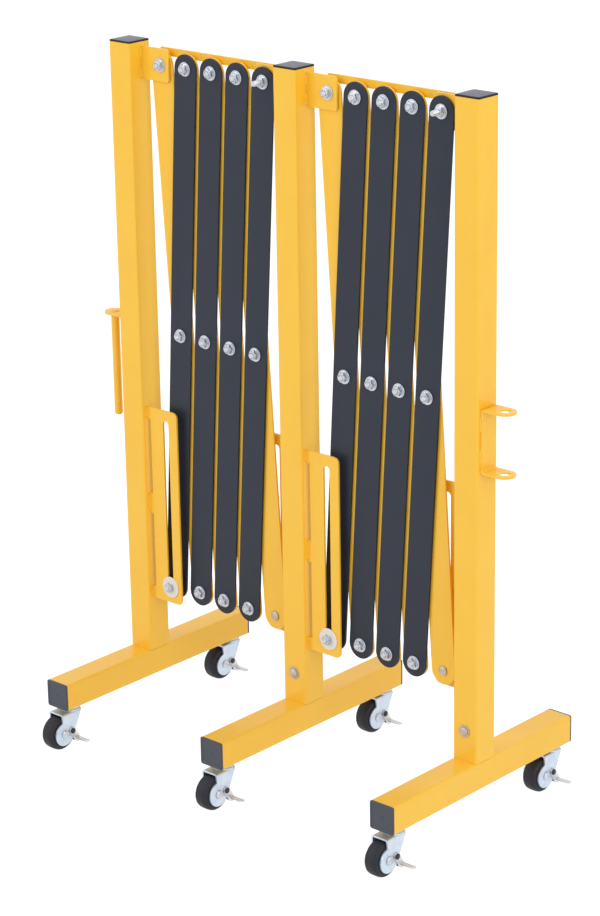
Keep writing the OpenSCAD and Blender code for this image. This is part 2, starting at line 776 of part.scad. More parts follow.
module post_left() { color(yellow) at_base() post_tube(-post_pitch, 1); }
module post_mid() { color(yellow) at_base() post_tube(0, -1); }
module post_right() { color(yellow) at_base() post_tube(post_pitch, -1); }

module foot_left() { color(yellow) at_base() foot_frame(-post_pitch, 1); }
module foot_mid() { color(yellow) at_base() foot_frame(0, -1); }
module foot_right() { color(yellow) at_base() foot_frame(post_pitch, -1); }

module caps_left() { at_base() cap_set(-post_pitch); }
module caps_mid() { at_base() cap_set(0); }
module caps_right() { at_base() cap_set(post_pitch); }

module brackets_left() {
    color(yellow) at_base() {
        start_brackets(-post_pitch);
        coupling_pin(-post_pitch);
    }
}
module brackets_mid() {
    color(yellow) at_base() {
        end_brackets(0);
        start_brackets(0);
    }
}
module brackets_right() {
    color(yellow) at_base() {
        end_brackets(post_pitch);
        coupling_eyes(post_pitch);
    }
}

module hardware_left() { hardware(-post_pitch, 1, true); }
module hardware_mid() { hardware(0, -1, true); }
module hardware_right() { hardware(post_pitch, -1, false); }

module black_l1() { black_slat(0, 1); }
module black_l2() { black_slat(0, 2); }
module black_l3() { black_slat(0, 3); }
module black_l4() { black_slat(0, 4); }
module yellow_l1() { yellow_slat(0, 1); }
module yellow_l2() { yellow_slat(0, 2); }
module yellow_l3() { yellow_slat(0, 3); }
module yellow_l4() { yellow_slat(0, 4); }
module black_r1() { black_slat(1, 1); }
module black_r2() { black_slat(1, 2); }
module black_r3() { black_slat(1, 3); }
module black_r4() { black_slat(1, 4); }
module yellow_r1() { yellow_slat(1, 1); }
module yellow_r2() { yellow_slat(1, 2); }
module yellow_r3() { yellow_slat(1, 3); }
module yellow_r4() { yellow_slat(1, 4); }

module bolts_l1() { slat_bolts(0, 1); }
module bolts_l2() { slat_bolts(0, 2); }
module bolts_l3() { slat_bolts(0, 3); }
module bolts_l4() { slat_bolts(0, 4); }
module bolts_r1() { slat_bolts(1, 1); }
module bolts_r2() { slat_bolts(1, 2); }
module bolts_r3() { slat_bolts(1, 3); }
module bolts_r4() { slat_bolts(1, 4); }

module latch_left() { latch(0); }
module latch_right() { latch(1); }

module fork_lf() { fork(-post_pitch, -1); }
module fork_lr() { fork(-post_pitch, 1); }
module fork_mf() { fork(0, -1); }
module fork_mr() { fork(0, 1); }
module fork_rf() { fork(post_pitch, -1); }
module fork_rr() { fork(post_pitch, 1); }

module wheel_lf() { wheel(-post_pitch, -1); }
module wheel_lr() { wheel(-post_pitch, 1); }
module wheel_mf() { wheel(0, -1); }
module wheel_mr() { wheel(0, 1); }
module wheel_rf() { wheel(post_pitch, -1); }
module wheel_rr() { wheel(post_pitch, 1); }

module brake_lf() { brake(-post_pitch, -1); }
module brake_lr() { brake(-post_pitch, 1); }
module brake_mf() { brake(0, -1); }
module brake_mr() { brake(0, 1); }
module brake_rf() { brake(post_pitch, -1); }
module brake_rr() { brake(post_pitch, 1); }

post_left();
post_mid();
post_right();
foot_left();
foot_mid();
foot_right();
caps_left();
caps_mid();
caps_right();
brackets_left();
brackets_mid();
brackets_right();
hardware_left();
hardware_mid();
hardware_right();
black_l1();
black_l2();
black_l3();
black_l4();
yellow_l1();
yellow_l2();
yellow_l3();
yellow_l4();
black_r1();
black_r2();
black_r3();
black_r4();
yellow_r1();
yellow_r2();
yellow_r3();
yellow_r4();
bolts_l1();
bolts_l2();
bolts_l3();
bolts_l4();
bolts_r1();
bolts_r2();
bolts_r3();
bolts_r4();
latch_left();
latch_right();
fork_lf();
fork_lr();
fork_mf();
fork_mr();
fork_rf();
fork_rr();
wheel_lf();
wheel_lr();
wheel_mf();
wheel_mr();
wheel_rf();
wheel_rr();
brake_lf();
brake_lr();
brake_mf();
brake_mr();
brake_rf();
brake_rr();
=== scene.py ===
"""Finished look of the folded expandable barrier gate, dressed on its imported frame.

The gate has three posts on wheeled feet and two folding slat lattices between them. Sizes and shapes
below are in millimetres, in the frame of the whole gate: +X along the row of posts, -Y to the front,
+Z up, with the floor at zero. A finished piece is turned into metres when it enters the scene.
"""

import json
import logging
import math
from collections.abc import Callable, Sequence
from dataclasses import dataclass, field
from enum import Enum

import bmesh
import bpy
from mathutils import Matrix, Vector
from mathutils.geometry import tessellate_polygon


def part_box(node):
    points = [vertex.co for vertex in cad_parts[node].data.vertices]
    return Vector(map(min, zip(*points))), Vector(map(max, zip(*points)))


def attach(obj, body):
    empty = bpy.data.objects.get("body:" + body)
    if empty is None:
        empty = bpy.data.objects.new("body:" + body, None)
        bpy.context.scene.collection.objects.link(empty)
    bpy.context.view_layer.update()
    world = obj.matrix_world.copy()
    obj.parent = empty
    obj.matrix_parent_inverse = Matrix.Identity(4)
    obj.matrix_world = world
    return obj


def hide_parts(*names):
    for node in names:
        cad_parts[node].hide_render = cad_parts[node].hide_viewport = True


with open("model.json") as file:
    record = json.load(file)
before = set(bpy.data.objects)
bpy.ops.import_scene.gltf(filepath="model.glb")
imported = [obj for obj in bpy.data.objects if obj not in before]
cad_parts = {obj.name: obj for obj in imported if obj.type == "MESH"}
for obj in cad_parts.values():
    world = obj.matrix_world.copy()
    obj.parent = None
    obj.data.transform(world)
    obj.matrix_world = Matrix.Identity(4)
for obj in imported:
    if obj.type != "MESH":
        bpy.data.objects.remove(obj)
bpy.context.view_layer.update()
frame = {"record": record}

log = logging.getLogger("gate")

MM = 0.001
HOLE_GAP = 0.05
WELD_R = 1.7
SLAT_HALF = 383.5
SHARP_ANGLE = math.radians(38.0)

Point = tuple[float, float]
Colour = tuple[float, float, float]


class Slot(Enum):
    """Material slots of the gate's record."""

    YELLOW = "yellow_coat"
    BLACK = "black_coat"
    PLASTIC = "black_plastic"
    ZINC = "zinc_steel"
    LEVER = "lever_steel"
    RUBBER = "wheel_rubber"


class Facing(Enum):
    """Direction in which a form grows, as the turn that brings its own +Z there."""

    FRONT = ("X", 90.0)
    REAR = ("X", -90.0)
    RIGHT = ("Y", 90.0)
    LEFT = ("Y", -90.0)
    UP = ("Z", 0.0)

    def at(self, x: float, y: float, z: float, spin: float = 0.0) -> Matrix:
        """Gives the placing of a form.

        Args:
            x: Place along the row of posts.
            y: Place from front to rear.
            z: Height.
            spin: Turn of the form about its own axis, in degrees.

        Returns:
            The matrix from the form's own space to the gate's frame.
        """
        axis, angle = self.value
        turn = Matrix.Rotation(math.radians(angle), 4, axis)
        return Matrix.Translation((x, y, z)) @ turn @ Matrix.Rotation(math.radians(spin), 4, "Z")


def arc(centre: Point, radius: float, start: float, end: float, steps: int) -> list[Point]:
    """Gives points on an arc.

    Args:
        centre: Middle of the arc.
        radius: Radius of the arc.
        start: First angle in degrees, anticlockwise from +x.
        end: Last angle in degrees.
        steps: Number of straight steps along the arc.

    Returns:
        The steps + 1 points from start to end.
    """
    angles = [math.radians(start + (end - start) * i / steps) for i in range(steps + 1)]
    return [(centre[0] + radius * math.cos(a), centre[1] + radius * math.sin(a)) for a in angles]


def circle(centre: Point, radius: float, steps: int = 28) -> list[Point]:
    """Gives the points of a full circle around centre, without a doubled last point."""
    return arc(centre, radius, 0.0, 360.0, steps)[:-1]


def round_box(width: float, height: float, radius: float, steps: int = 5) -> list[Point]:
    """Gives the outline of a rectangle with round corners around the origin.

    Args:
        width: Size along x.
        height: Size along y.
        radius: Radius of the corners.
        steps: Number of straight steps in each corner.

    Returns:
        The outline, anticlockwise.
    """
    x, y = width / 2 - radius, height / 2 - radius
    corners = [((x, y), 0.0), ((-x, y), 90.0), ((-x, -y), 180.0), ((x, -y), 270.0)]
    return [p for middle, start in corners for p in arc(middle, radius, start, start + 90.0, steps)]


def capsule(half_length: float, radius: float, steps: int = 16) -> list[Point]:
    """Gives the outline of a strip along y with round ends.

    Args:
        half_length: Distance from the origin to the middle of each round end.
        radius: Radius of the ends, half the width of the strip.
        steps: Number of straight steps in each end.

    Returns:
        The outline, anticlockwise.
    """
    top = arc((0.0, half_length), radius, 0.0, 180.0, steps)
    return top + arc((0.0, -half_length), radius, 180.0, 360.0, steps)


class Shape:
    """Closed forms in millimetres that are joined into the mesh of one piece."""

    def __init__(self) -> None:
        """Starts with no form."""
        self.mesh = bmesh.new()

    def loft(self, rings: Sequence[Sequence[Vector]], wrap: bool = False) -> None:
        """Skins a row of rings that have the same number of points.

        Args:
            rings: Rings of points in the gate's frame.
            wrap: Joins the last ring to the first in place of closing both ends.
        """
        rows = [[self.mesh.verts.new(p) for p in ring] for ring in rings]
        count = len(rows[0])
        pairs = list(zip(rows, rows[1:]))
        if wrap:
            pairs.append((rows[-1], rows[0]))
        for low, high in pairs:
            for i in range(count):
                j = (i + 1) % count
                self.mesh.faces.new((low[i], low[j], high[j], high[i]))
        if not wrap:
            self.mesh.faces.new(rows[0])
            self.mesh.faces.new(rows[-1])

    def turned(self, profile: Sequence[Point], place: Matrix, steps: int = 36, wrap: bool = False) -> None:
        """Turns a profile about the form's own Z axis.

        Args:
            profile: Points of radius and height.
            place: Placing of the form.
            steps: Number of flats around the axis.
            wrap: Closes the profile on itself, for a ring with a hole.
        """
        rings = []
        for radius, height in profile:
            rings.append([place @ Vector((x, y, height)) for x, y in circle((0.0, 0.0), radius, steps)])
        self.loft(rings, wrap)

    def stacked(self, layers: Sequence[tuple[Sequence[Point], float]], place: Matrix,
                wrap: bool = False) -> None:
        """Skins outlines that lie at different heights.

        Args:
            layers: Outlines with as many points each, and their heights.
            place: Placing of the form.
            wrap: Joins the last outline to the first, for a tube.
        """
        self.loft([[place @ Vector((x, y, height)) for x, y in outline] for outline, height in layers], wrap)

    def plate(self, outline: Sequence[Point], thickness: float, place: Matrix,
              holes: Sequence[Sequence[Point]] = ()) -> None:
        """Makes a flat plate, with its underside on the form's own XY plane.

        Args:
            outline: Outer outline.
            thickness: Height of the plate along its own Z.
            place: Placing of the plate.
            holes: Outlines of the holes.
        """
        loops = [outline, *holes]
        triangles = tessellate_polygon([[Vector((x, y, 0.0)) for x, y in loop] for loop in loops])
        rows = []
        for height in (0.0, thickness):
            row = [self.mesh.verts.new(place @ Vector((x, y, height))) for loop in loops for x, y in loop]
            rows.append(row)
            for corners in triangles:
                self.mesh.faces.new([row[i] for i in corners])
        first = 0
        for loop in loops:
            for i in range(len(loop)):
                a, b = first + i, first + (i + 1) % len(loop)
                self.mesh.faces.new((rows[0][a], rows[0][b], rows[1][b], rows[1][a]))
            first += len(loop)

    def hexagon(self, across: float, height: float, place: Matrix, chamfer: float = 0.96) -> None:
        """Makes a six-sided nut or head with turned corners at both ends.

        Args:
            across: Width across the flats.
            height: Height of the form.
            place: Placing of the form.
            chamfer: Share of the half width at which the turned corners start.
        """
        flat = across / 2
        inner = flat * chamfer
        around = [math.radians(7.5 * i) for i in range(48)]
        reach = [flat / math.cos((a + math.pi / 6) % (math.pi / 3) - math.pi / 6) for a in around]
        drop = [(r - inner) * math.tan(math.radians(28.0)) for r in reach]

        def ring(radii: Sequence[float], heights: Sequence[float]) -> list[Vector]:
            """Places one ring of the form."""
            polar = zip(radii, around, heights)
            return [place @ Vector((r * math.cos(a), r * math.sin(a), h)) for r, a, h in polar]

        inners = [inner] * len(around)
        self.loft([
            ring(inners, [0.0] * len(around)),
            ring(reach, drop),
            ring(reach, [height - d for d in drop]),
            ring(inners, [height] * len(around)),
        ])

    def thread(self, radius: float, length: float, place: Matrix, pitch: float = 1.25) -> None:
        """Makes a threaded rod whose end is chamfered.

        Args:
            radius: Outer radius of the thread.
            length: Length of the rod.
            place: Placing of its lower end.
            pitch: Distance between two turns of the thread.
        """
        sides, rows = 24, max(4, round(length / pitch * 6))
        depth, chamfer = pitch * 0.42, pitch * 0.8
        rings = []
        for row in range(rows + 1):
            height = length * row / rows
            limit = radius - max(0.0, height - length + chamfer)
            ring = []
            for side in range(sides):
                groove = abs(2 * ((height / pitch - side / sides) % 1.0) - 1)
                reach = min(radius - depth * groove, limit)
                a = 2 * math.pi * side / sides
                ring.append(place @ Vector((reach * math.cos(a), reach * math.sin(a), height)))
            rings.append(ring)
        self.loft(rings)

    def bead(self, start: Vector, end: Vector, radius: float, pitch: float = 2.6) -> None:
        """Lays a rippled weld along the line from start to end.

        Args:
            start: First end of the weld.
            end: Last end of the weld.
            radius: Radius of the weld.
            pitch: Distance between two ripples.
        """
        along = end - start
        rows = max(6, round(along.length / (pitch / 5)))
        turn = along.to_track_quat("Z", "X").to_matrix().to_4x4()
        rings = []
        for row in range(rows + 1):
            distance = along.length * row / rows
            to_end = min(distance, along.length - distance)
            taper = min(1.0, (to_end + 0.5) / (radius * 1.2))
            ripple = 0.84 + 0.16 * abs(math.sin(math.pi * distance / pitch))
            reach = radius * ripple * math.sqrt(max(0.08, taper))
            place = Matrix.Translation(start + along * (row / rows)) @ turn
            rings.append([place @ Vector((x, y, 0.0)) for x, y in circle((0.0, 0.0), reach, 12)])
        self.loft(rings)

    def sheet(self, stations: Sequence[tuple[Point, float, float]], thickness: float, place: Matrix) -> None:
        """Bends a metal strip along a path in the form's own XZ plane.

        Args:
            stations: Path point, and the reach of the strip to both sides along the form's own Y.
            thickness: Thickness of the metal, with the path in its middle.
            place: Placing of the form.
        """
        points = [Vector((p[0], 0.0, p[1])) for p, _, _ in stations]
        rings = []
        for i, (_, low, high) in enumerate(stations):
            ahead = points[min(i + 1, len(points) - 1)] - points[max(i - 1, 0)]
            normal = Vector((-ahead.z, 0.0, ahead.x)).normalized() * (thickness / 2)
            corners = [(1, low), (1, high), (-1, high), (-1, low)]
            rings.append([place @ (points[i] + normal * side + Vector((0.0, y, 0.0))) for side, y in corners])
        self.loft(rings)

    def raw_object(self, name: str) -> bpy.types.Object:
        """Puts the shape into the scene as it is, with its normals pointing out.

        Args:
            name: Name of the object.

        Returns:
            The object.
        """
        bmesh.ops.recalc_face_normals(self.mesh, faces=self.mesh.faces[:])
        data = bpy.data.meshes.new(name)
        self.mesh.to_mesh(data)
        thing = bpy.data.objects.new(name, data)
        bpy.context.scene.collection.objects.link(thing)
        return thing

    def piece(self, name: str, finish: "Finish", body: str,
              replaces: Sequence[str] = (), rim: float = 0.0) -> None:
        """Turns the shape into a finished piece that rides on a body of the gate.

        Args:
            name: Name of the piece.
            finish: Finish of its surface.
            body: Body that it moves with.
            replaces: Solids of the frame that it stands for.
            rim: Width of the rounding of its edges, or 0 where the shape has its own.
        """
        self.mesh.transform(Matrix.Scale(MM, 4))
        thing = self.raw_object(name)
        self.mesh.free()
        data = thing.data
        data.shade_smooth()
        if rim:
            rounding = thing.modifiers.new("rounded edges", "BEVEL")
            rounding.limit_method = "ANGLE"
            rounding.angle_limit = SHARP_ANGLE
            rounding.width = rim * MM
            rounding.segments = 2
        else:
            data.set_sharp_from_angle(angle=SHARP_ANGLE)
        even = thing.modifiers.new("even shading", "WEIGHTED_NORMAL")
        even.keep_sharp = True
        data.materials.append(finish.material())
        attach(thing, body)
        if replaces:
            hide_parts(*replaces)
        log.info("%s: %d faces on %s", name, len(data.polygons), body)


class NodeBench:
    """Writes the nodes of one material or group."""

    def __init__(self, tree: bpy.types.NodeTree) -> None:
        """Starts on an empty tree."""
        self.tree = tree
        tree.nodes.clear()

    def add(self, kind: str, inputs: dict[str | int, object] | None = None,
            **settings: object) -> bpy.types.Node:
        """Adds a node.

        Args:
            kind: Type name of the node, without its Shader Node prefix where it has one.
            inputs: Values of its sockets, or output sockets to link to them.
            **settings: Values of its own properties.

        Returns:
            The node.
        """
        prefix = "" if kind.startswith("Node") else "ShaderNode"
        node = self.tree.nodes.new(prefix + kind)
        for key, value in settings.items():
            setattr(node, key, value)
        for key, value in (inputs or {}).items():
            if isinstance(value, bpy.types.NodeSocket):
                self.tree.links.new(value, node.inputs[key])
            else:
                node.inputs[key].default_value = value
        return node

    def maths(self, operation: str, *values: object) -> bpy.types.NodeSocket:
        """Adds a maths node on up to three values or sockets and gives its output."""
        return self.add("Math", dict(enumerate(values)), operation=operation).outputs[0]

    def blend(self, factor: object, first: object, second: object) -> bpy.types.NodeSocket:
        """Adds a colour mix and gives its output.

        Args:
            factor: Share of the second colour, a number or a socket.
            first: Colour or socket at 0.
            second: Colour or socket at 1.

        Returns:
            The mixed colour.
        """
        node = self.add("Mix", {0: factor, 6: first, 7: second}, data_type="RGBA")
        return node.outputs[2]

    def spread(self, value: object, low: float, high: float, out_low: float,
               out_high: float) -> bpy.types.NodeSocket:
        """Maps a value from one range to another, clamped, and gives the output."""
        return self.add("MapRange", {0: value, 1: low, 2: high, 3: out_low, 4: out_high}).outputs[0]

    def clouds(self, scale: object, detail: float, roughness: float) -> bpy.types.NodeSocket:
        """Adds noise in the piece's own space.

        Args:
            scale: Fineness of the noise, a number or a socket.
            detail: Number of finer layers.
            roughness: Strength of the finer layers.

        Returns:
            The noise from 0 to 1.
        """
        where = self.add("TexCoord").outputs["Object"]
        sockets = {"Vector": where, "Scale": scale, "Detail": detail, "Roughness": roughness}
        return self.add("TexNoise", sockets).outputs["Fac"]


@dataclass(frozen=True)
class Effect:
    """An effect of the surface that several finishes share, built once as a node group."""

    name: str
    inputs: tuple[str, ...]
    outputs: tuple[str, ...]
    draw: Callable[[NodeBench, bpy.types.Node], dict[str, bpy.types.NodeSocket]]

    def group(self) -> bpy.types.NodeTree:
        """Gives the group, building it at its first use.

        Returns:
            The node group of the effect.
        """
        made = bpy.data.node_groups.get(self.name)
        if made:
            return made
        made = bpy.data.node_groups.new(self.name, "ShaderNodeTree")
        for side, names in (("INPUT", self.inputs), ("OUTPUT", self.outputs)):
            for socket in names:
                made.interface.new_socket(name=socket, in_out=side, socket_type="NodeSocketFloat")
        bench = NodeBench(made)
        entry = bench.add("NodeGroupInput")
        bench.add("NodeGroupOutput", dict(self.draw(bench, entry)))
        return made

    def use(self, bench: NodeBench, **values: object) -> bpy.types.Node:
        """Places the effect in a material.

        Args:
            bench: Bench of the material.
            **values: Values of the inputs, by their names in lower case.

        Returns:
            The group node.
        """
        node = bench.add("Group", node_tree=self.group())
        for socket in self.inputs:
            node.inputs[socket].default_value = values[socket.lower()]
        return node


def draw_grain(bench: NodeBench, entry: bpy.types.Node) -> dict[str, bpy.types.NodeSocket]:
    """Draws a fine skin and a broad change of tone.

    Args:
        bench: Bench of the group.
        entry: Input node of the group.

    Returns:
        Height of the fine skin, and tone from 0 to 1.
    """
    fine = bench.clouds(entry.outputs["Grain"], 3.0, 0.55)
    broad = bench.clouds(entry.outputs["Patch"], 4.0, 0.6)
    return {"Height": fine, "Tone": bench.spread(broad, 0.3, 0.7, 0.0, 1.0)}


def draw_wear_and_highlight(bench: NodeBench, entry: bpy.types.Node) -> dict[str, bpy.types.NodeSocket]:
    """Draws a mask of spots along edges, which take both wear and a painted highlight.

    Args:
        bench: Bench of the group.
        entry: Input node of the group.

    Returns:
        Mask from 0 to 1.
    """
    soft = bench.add("Bevel", {"Radius": entry.outputs["Reach"]}, samples=6)
    true = bench.add("NewGeometry").outputs["Normal"]
    facing = bench.add("VectorMath", {0: soft.outputs[0], 1: true}, operation="DOT_PRODUCT").outputs["Value"]
    edge = bench.spread(facing, 0.99, 0.86, 0.0, 1.0)
    spots = bench.spread(bench.clouds(entry.outputs["Spots"], 5.0, 0.65), 0.46, 0.66, 0.0, 1.0)
    return {"Mask": bench.maths("MULTIPLY", edge, spots)}


def draw_dust(bench: NodeBench, entry: bpy.types.Node) -> dict[str, bpy.types.NodeSocket]:
    """Draws a mask of fine dust that lies on faces that look up.

    Args:
        bench: Bench of the group.
        entry: Input node of the group.

    Returns:
        Mask from 0 to 1.
    """
    geometry = bench.add("NewGeometry")
    normal = bench.add("SeparateXYZ", {0: geometry.outputs["Normal"]}).outputs["Z"]
    up = bench.spread(normal, 0.35, 1.0, 0.0, 1.0)
    patches = bench.spread(bench.clouds(entry.outputs["Cloud"], 6.0, 0.7), 0.35, 0.75, 0.0, 1.0)
    return {"Mask": bench.maths("MULTIPLY", up, patches)}


GRAIN = Effect("surface grain", ("Grain", "Patch"), ("Height", "Tone"), draw_grain)
WEAR_AND_HIGHLIGHT = Effect("edge wear and painted highlight", ("Reach", "Spots"), ("Mask",), draw_wear_and_highlight)
DUST = Effect("fine dust", ("Cloud",), ("Mask",), draw_dust)


@dataclass(frozen=True)
class Finish:
    """A surface finish. Colours are linear, and the tones mix by a broad cloud."""

    name: str
    colour: Colour
    second: Colour
    roughness: float
    roughness_spread: float = 0.06
    metallic: float = 0.0
    specular: float = 0.5
    coat: float = 0.0
    coat_roughness: float = 0.1
    grain: float = 900.0
    patch: float = 14.0
    relief: float = 0.12
    relief_depth: float = 0.0004
    # Edge colour, amount and reach: paler edges in patches, partly wear and partly a painted highlight.
    worn_and_lit: Colour = (0.5, 0.5, 0.5)
    wear_and_highlight: float = 0.0
    wear_and_highlight_reach: float = 0.0009
    dust: float = 0.0
    dust_colour: Colour = (0.55, 0.52, 0.47)

    def material(self) -> bpy.types.Material:
        """Gives the material, building it at its first use.

        Returns:
            The material of the finish.
        """
        made = bpy.data.materials.get(self.name)
        if made:
            return made
        made = bpy.data.materials.new(self.name)
        made.use_nodes = True
        bench = NodeBench(made.node_tree)
        grain = GRAIN.use(bench, grain=self.grain, patch=self.patch)
        colour = bench.blend(grain.outputs["Tone"], (*self.colour, 1.0), (*self.second, 1.0))
        # Paler colour along edges in patches: wear and a painted highlight together.
        if self.wear_and_highlight:
            mask = WEAR_AND_HIGHLIGHT.use(bench, reach=self.wear_and_highlight_reach, spots=220.0).outputs["Mask"]
            colour = bench.blend(bench.maths("MULTIPLY", mask, self.wear_and_highlight), colour, (*self.worn_and_lit, 1.0))
        dull = self.roughness + self.roughness_spread
        rough = bench.spread(grain.outputs["Tone"], 0.0, 1.0, self.roughness, dull)
        if self.dust:
            film = bench.maths("MULTIPLY", DUST.use(bench, cloud=26.0).outputs["Mask"], self.dust)
            colour = bench.blend(film, colour, (*self.dust_colour, 1.0))
            rough = bench.maths("MAXIMUM", rough, bench.maths("MULTIPLY", film, 0.9))
        bump = bench.add("Bump", {"Strength": self.relief, "Distance": self.relief_depth,
                                  "Height": grain.outputs["Height"]})
        shader = bench.add("BsdfPrincipled", {
            "Base Color": colour,
            "Roughness": rough,
            "Normal": bump.outputs[0],
            "Metallic": self.metallic,
            "Specular IOR Level": self.specular,
            "Coat Weight": self.coat,
            "Coat Roughness": self.coat_roughness,
        })
        bench.add("OutputMaterial", {"Surface": shader.outputs[0]})
        return made


# The edge colours of the finishes are paler than their coats: they paint a highlight along the edges as well
# as wear.
YELLOW_COAT = Finish(
    "yellow powder coat", (0.955, 0.542, 0.030), (0.980, 0.572, 0.037), 0.38, specular=0.42, coat=0.28,
    coat_roughness=0.12, grain=620.0, relief=0.10, wear_and_highlight=0.35, worn_and_lit=(0.98, 0.76, 0.30), dust=0.06)
BLACK_COAT = Finish(
    "black powder coat", (0.014, 0.020, 0.037), (0.019, 0.025, 0.043), 0.44, specular=0.30, coat=0.04,
    coat_roughness=0.2, grain=620.0, relief=0.12, wear_and_highlight=0.25, worn_and_lit=(0.10, 0.11, 0.13), dust=0.03)
CAP_PLASTIC = Finish(
    "moulded black plastic", (0.040, 0.048, 0.066), (0.050, 0.058, 0.078), 0.46, grain=1400.0, relief=0.22,
    wear_and_highlight=0.25, worn_and_lit=(0.12, 0.13, 0.15), dust=0.10)
# The post cap's top is paler and bluer than the foot caps of the same plastic: a painted sheen where it faces
# up.
CAP_TOP_SHEEN = Finish(
    "smooth black plastic with painted sheen", (0.052, 0.055, 0.100), (0.064, 0.066, 0.118), 0.34, grain=1400.0, relief=0.12,
    wear_and_highlight=0.20, worn_and_lit=(0.12, 0.13, 0.17), dust=0.06)
# The post cap's skirt is near black: painted shade on the cap's sides.
CAP_SKIRT_SHADE = Finish(
    "cap edge in painted shade", (0.012, 0.009, 0.010), (0.018, 0.013, 0.014), 0.52, specular=0.25, grain=1400.0,
    relief=0.20)
FORK_ZINC = Finish(
    "blue zinc plate", (0.64, 0.72, 0.82), (0.54, 0.63, 0.75), 0.34, roughness_spread=0.12, metallic=0.9,
    grain=1800.0, patch=90.0, relief=0.10, wear_and_highlight=0.20, worn_and_lit=(0.85, 0.88, 0.92))
BRIGHT_ZINC = Finish(
    "bright zinc plate", (0.60, 0.62, 0.67), (0.50, 0.53, 0.58), 0.30, roughness_spread=0.12, metallic=1.0,
    grain=1800.0, patch=90.0, relief=0.08, wear_and_highlight=0.25, worn_and_lit=(0.9, 0.9, 0.9))
DULL_ZINC = Finish(
    "dull zinc plate", (0.56, 0.48, 0.40), (0.44, 0.39, 0.35), 0.42, roughness_spread=0.12, metallic=0.85,
    grain=1800.0, patch=90.0, relief=0.12, wear_and_highlight=0.25, worn_and_lit=(0.80, 0.62, 0.34))
LEVER_STEEL = Finish(
    "pale lever steel", (0.74, 0.74, 0.75), (0.66, 0.66, 0.68), 0.34, roughness_spread=0.10, metallic=0.9,
    grain=1600.0, patch=90.0, relief=0.10)
# Near-black steel of the axle and the brake rivet: painted shade for the dark hollows at their ends.
SHADE_DARK_STEEL = Finish(
    "steel darkened as painted shade", (0.030, 0.034, 0.040), (0.045, 0.048, 0.055), 0.40, metallic=0.6, grain=1600.0,
    patch=120.0, relief=0.1)
TYRE_RUBBER = Finish(
    "black tyre rubber", (0.011, 0.012, 0.019), (0.017, 0.018, 0.026), 0.50, roughness_spread=0.12,
    specular=0.34, grain=2200.0, patch=60.0, relief=0.3, dust=0.06, dust_colour=(0.16, 0.16, 0.17))
HUB_PLASTIC = Finish(
    "grey hub plastic", (0.10, 0.11, 0.12), (0.13, 0.14, 0.15), 0.45, grain=1500.0, relief=0.2)
PALE_NYLON = Finish(
    "pale nylon", (0.80, 0.76, 0.70), (0.84, 0.81, 0.76), 0.38, grain=900.0, patch=60.0, relief=0.08)


def spot(name: str) -> Vector:
    """Gives the place of a joint of the frame in millimetres."""
    joint = next(j for j in frame["record"]["behaviour"]["joints"] if j["name"] == name)
    return Vector(joint["pos_m"]) / MM


def corners(node: str) -> tuple[Vector, Vector]:
    """Gives the lowest and highest corner of a solid of the frame in millimetres."""
    low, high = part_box(node)
    return Vector(low) / MM, Vector(high) / MM


@dataclass(frozen=True)
class Bolts:
    """Sizes of the bolts of the lattice, and the forms that they are made of."""

    shank_d: float = 8.0
    washer_d: float = 20.0
    washer_t: float = 1.5
    nut_af: float = 13.0
    nut_h: float = 6.5
    head_d: float = 14.0
    head_h: float = 4.0
    spacer_d: float = 16.0
    slide_washer_d: float = 32.0
    slide_gap: float = 0.2
    short_thread: float = 1.5
    long_thread: float = 11.0

    @property
    def hole_r(self) -> float:
        """Radius of the hole for a bolt."""
        return self.shank_d / 2 + HOLE_GAP

    def washer(self, shape: Shape, place: Matrix, diameter: float | None = None) -> None:
        """Adds a flat washer with soft edges."""
        outer, inner, t = (diameter or self.washer_d) / 2, self.shank_d / 2 + 0.3, self.washer_t
        shape.turned([(inner, 0.0), (outer - 0.3, 0.0), (outer, 0.35), (outer, t - 0.4), (outer - 0.35, t),
                      (inner + 0.3, t), (inner, t - 0.3)], place, wrap=True)

    def nut(self, shape: Shape, x: float, y: float, z: float, facing: Facing, spin: float,
            end: float) -> None:
        """Adds a locking nut with its round collar, and the thread that stands out of it.

        Args:
            shape: Shape that takes the nut.
            x: Place of the nut.
            y: Place of its seat.
            z: Height of its axis.
            facing: Direction in which it stands out.
            spin: Turn of its flats in degrees.
            end: Length of thread past the nut.
        """
        place = facing.at(x, y, z, spin)
        body = self.nut_h * 0.72
        shape.turned([(7.6, 0.0), (7.6, 0.5), (6.9, 0.9)], place)
        shape.hexagon(self.nut_af, body, place @ Matrix.Translation((0.0, 0.0, 0.4)))
        collar = [(5.95, body), (5.95, self.nut_h - 0.9), (5.6, self.nut_h - 0.25), (5.1, self.nut_h),
                  (4.5, self.nut_h - 0.1), (4.3, self.nut_h - 0.9)]
        shape.turned(collar, place)
        shape.thread(self.shank_d / 2 - 0.05, self.nut_h + end, place)

    def dome(self, shape: Shape, place: Matrix, diameter: float | None = None,
             height: float | None = None) -> None:
        """Adds a round head with a smooth crown.

        Args:
            shape: Shape that takes the head.
            place: Placing of its seat.
            diameter: Diameter of the head, that of a lattice bolt if none is given.
            height: Height of the head, that of a lattice bolt if none is given.
        """
        radius, tall = (diameter or self.head_d) / 2, height or self.head_h
        profile = [(radius - 0.25, 0.0), (radius, 0.3), (radius, tall * 0.3)]
        for step in range(1, 9):
            a = math.radians(90.0 * step / 8.4)
            profile.append((radius * math.cos(a), tall * (0.3 + 0.7 * math.sin(a))))
        shape.turned(profile, place)

    def rod(self, shape: Shape, low: Point, radius: float, place: Matrix) -> None:
        """Adds a plain round stretch from low[0] to low[1] along the form's own Z."""
        shape.turned([(radius, low[0]), (radius, low[1])], place, 28)


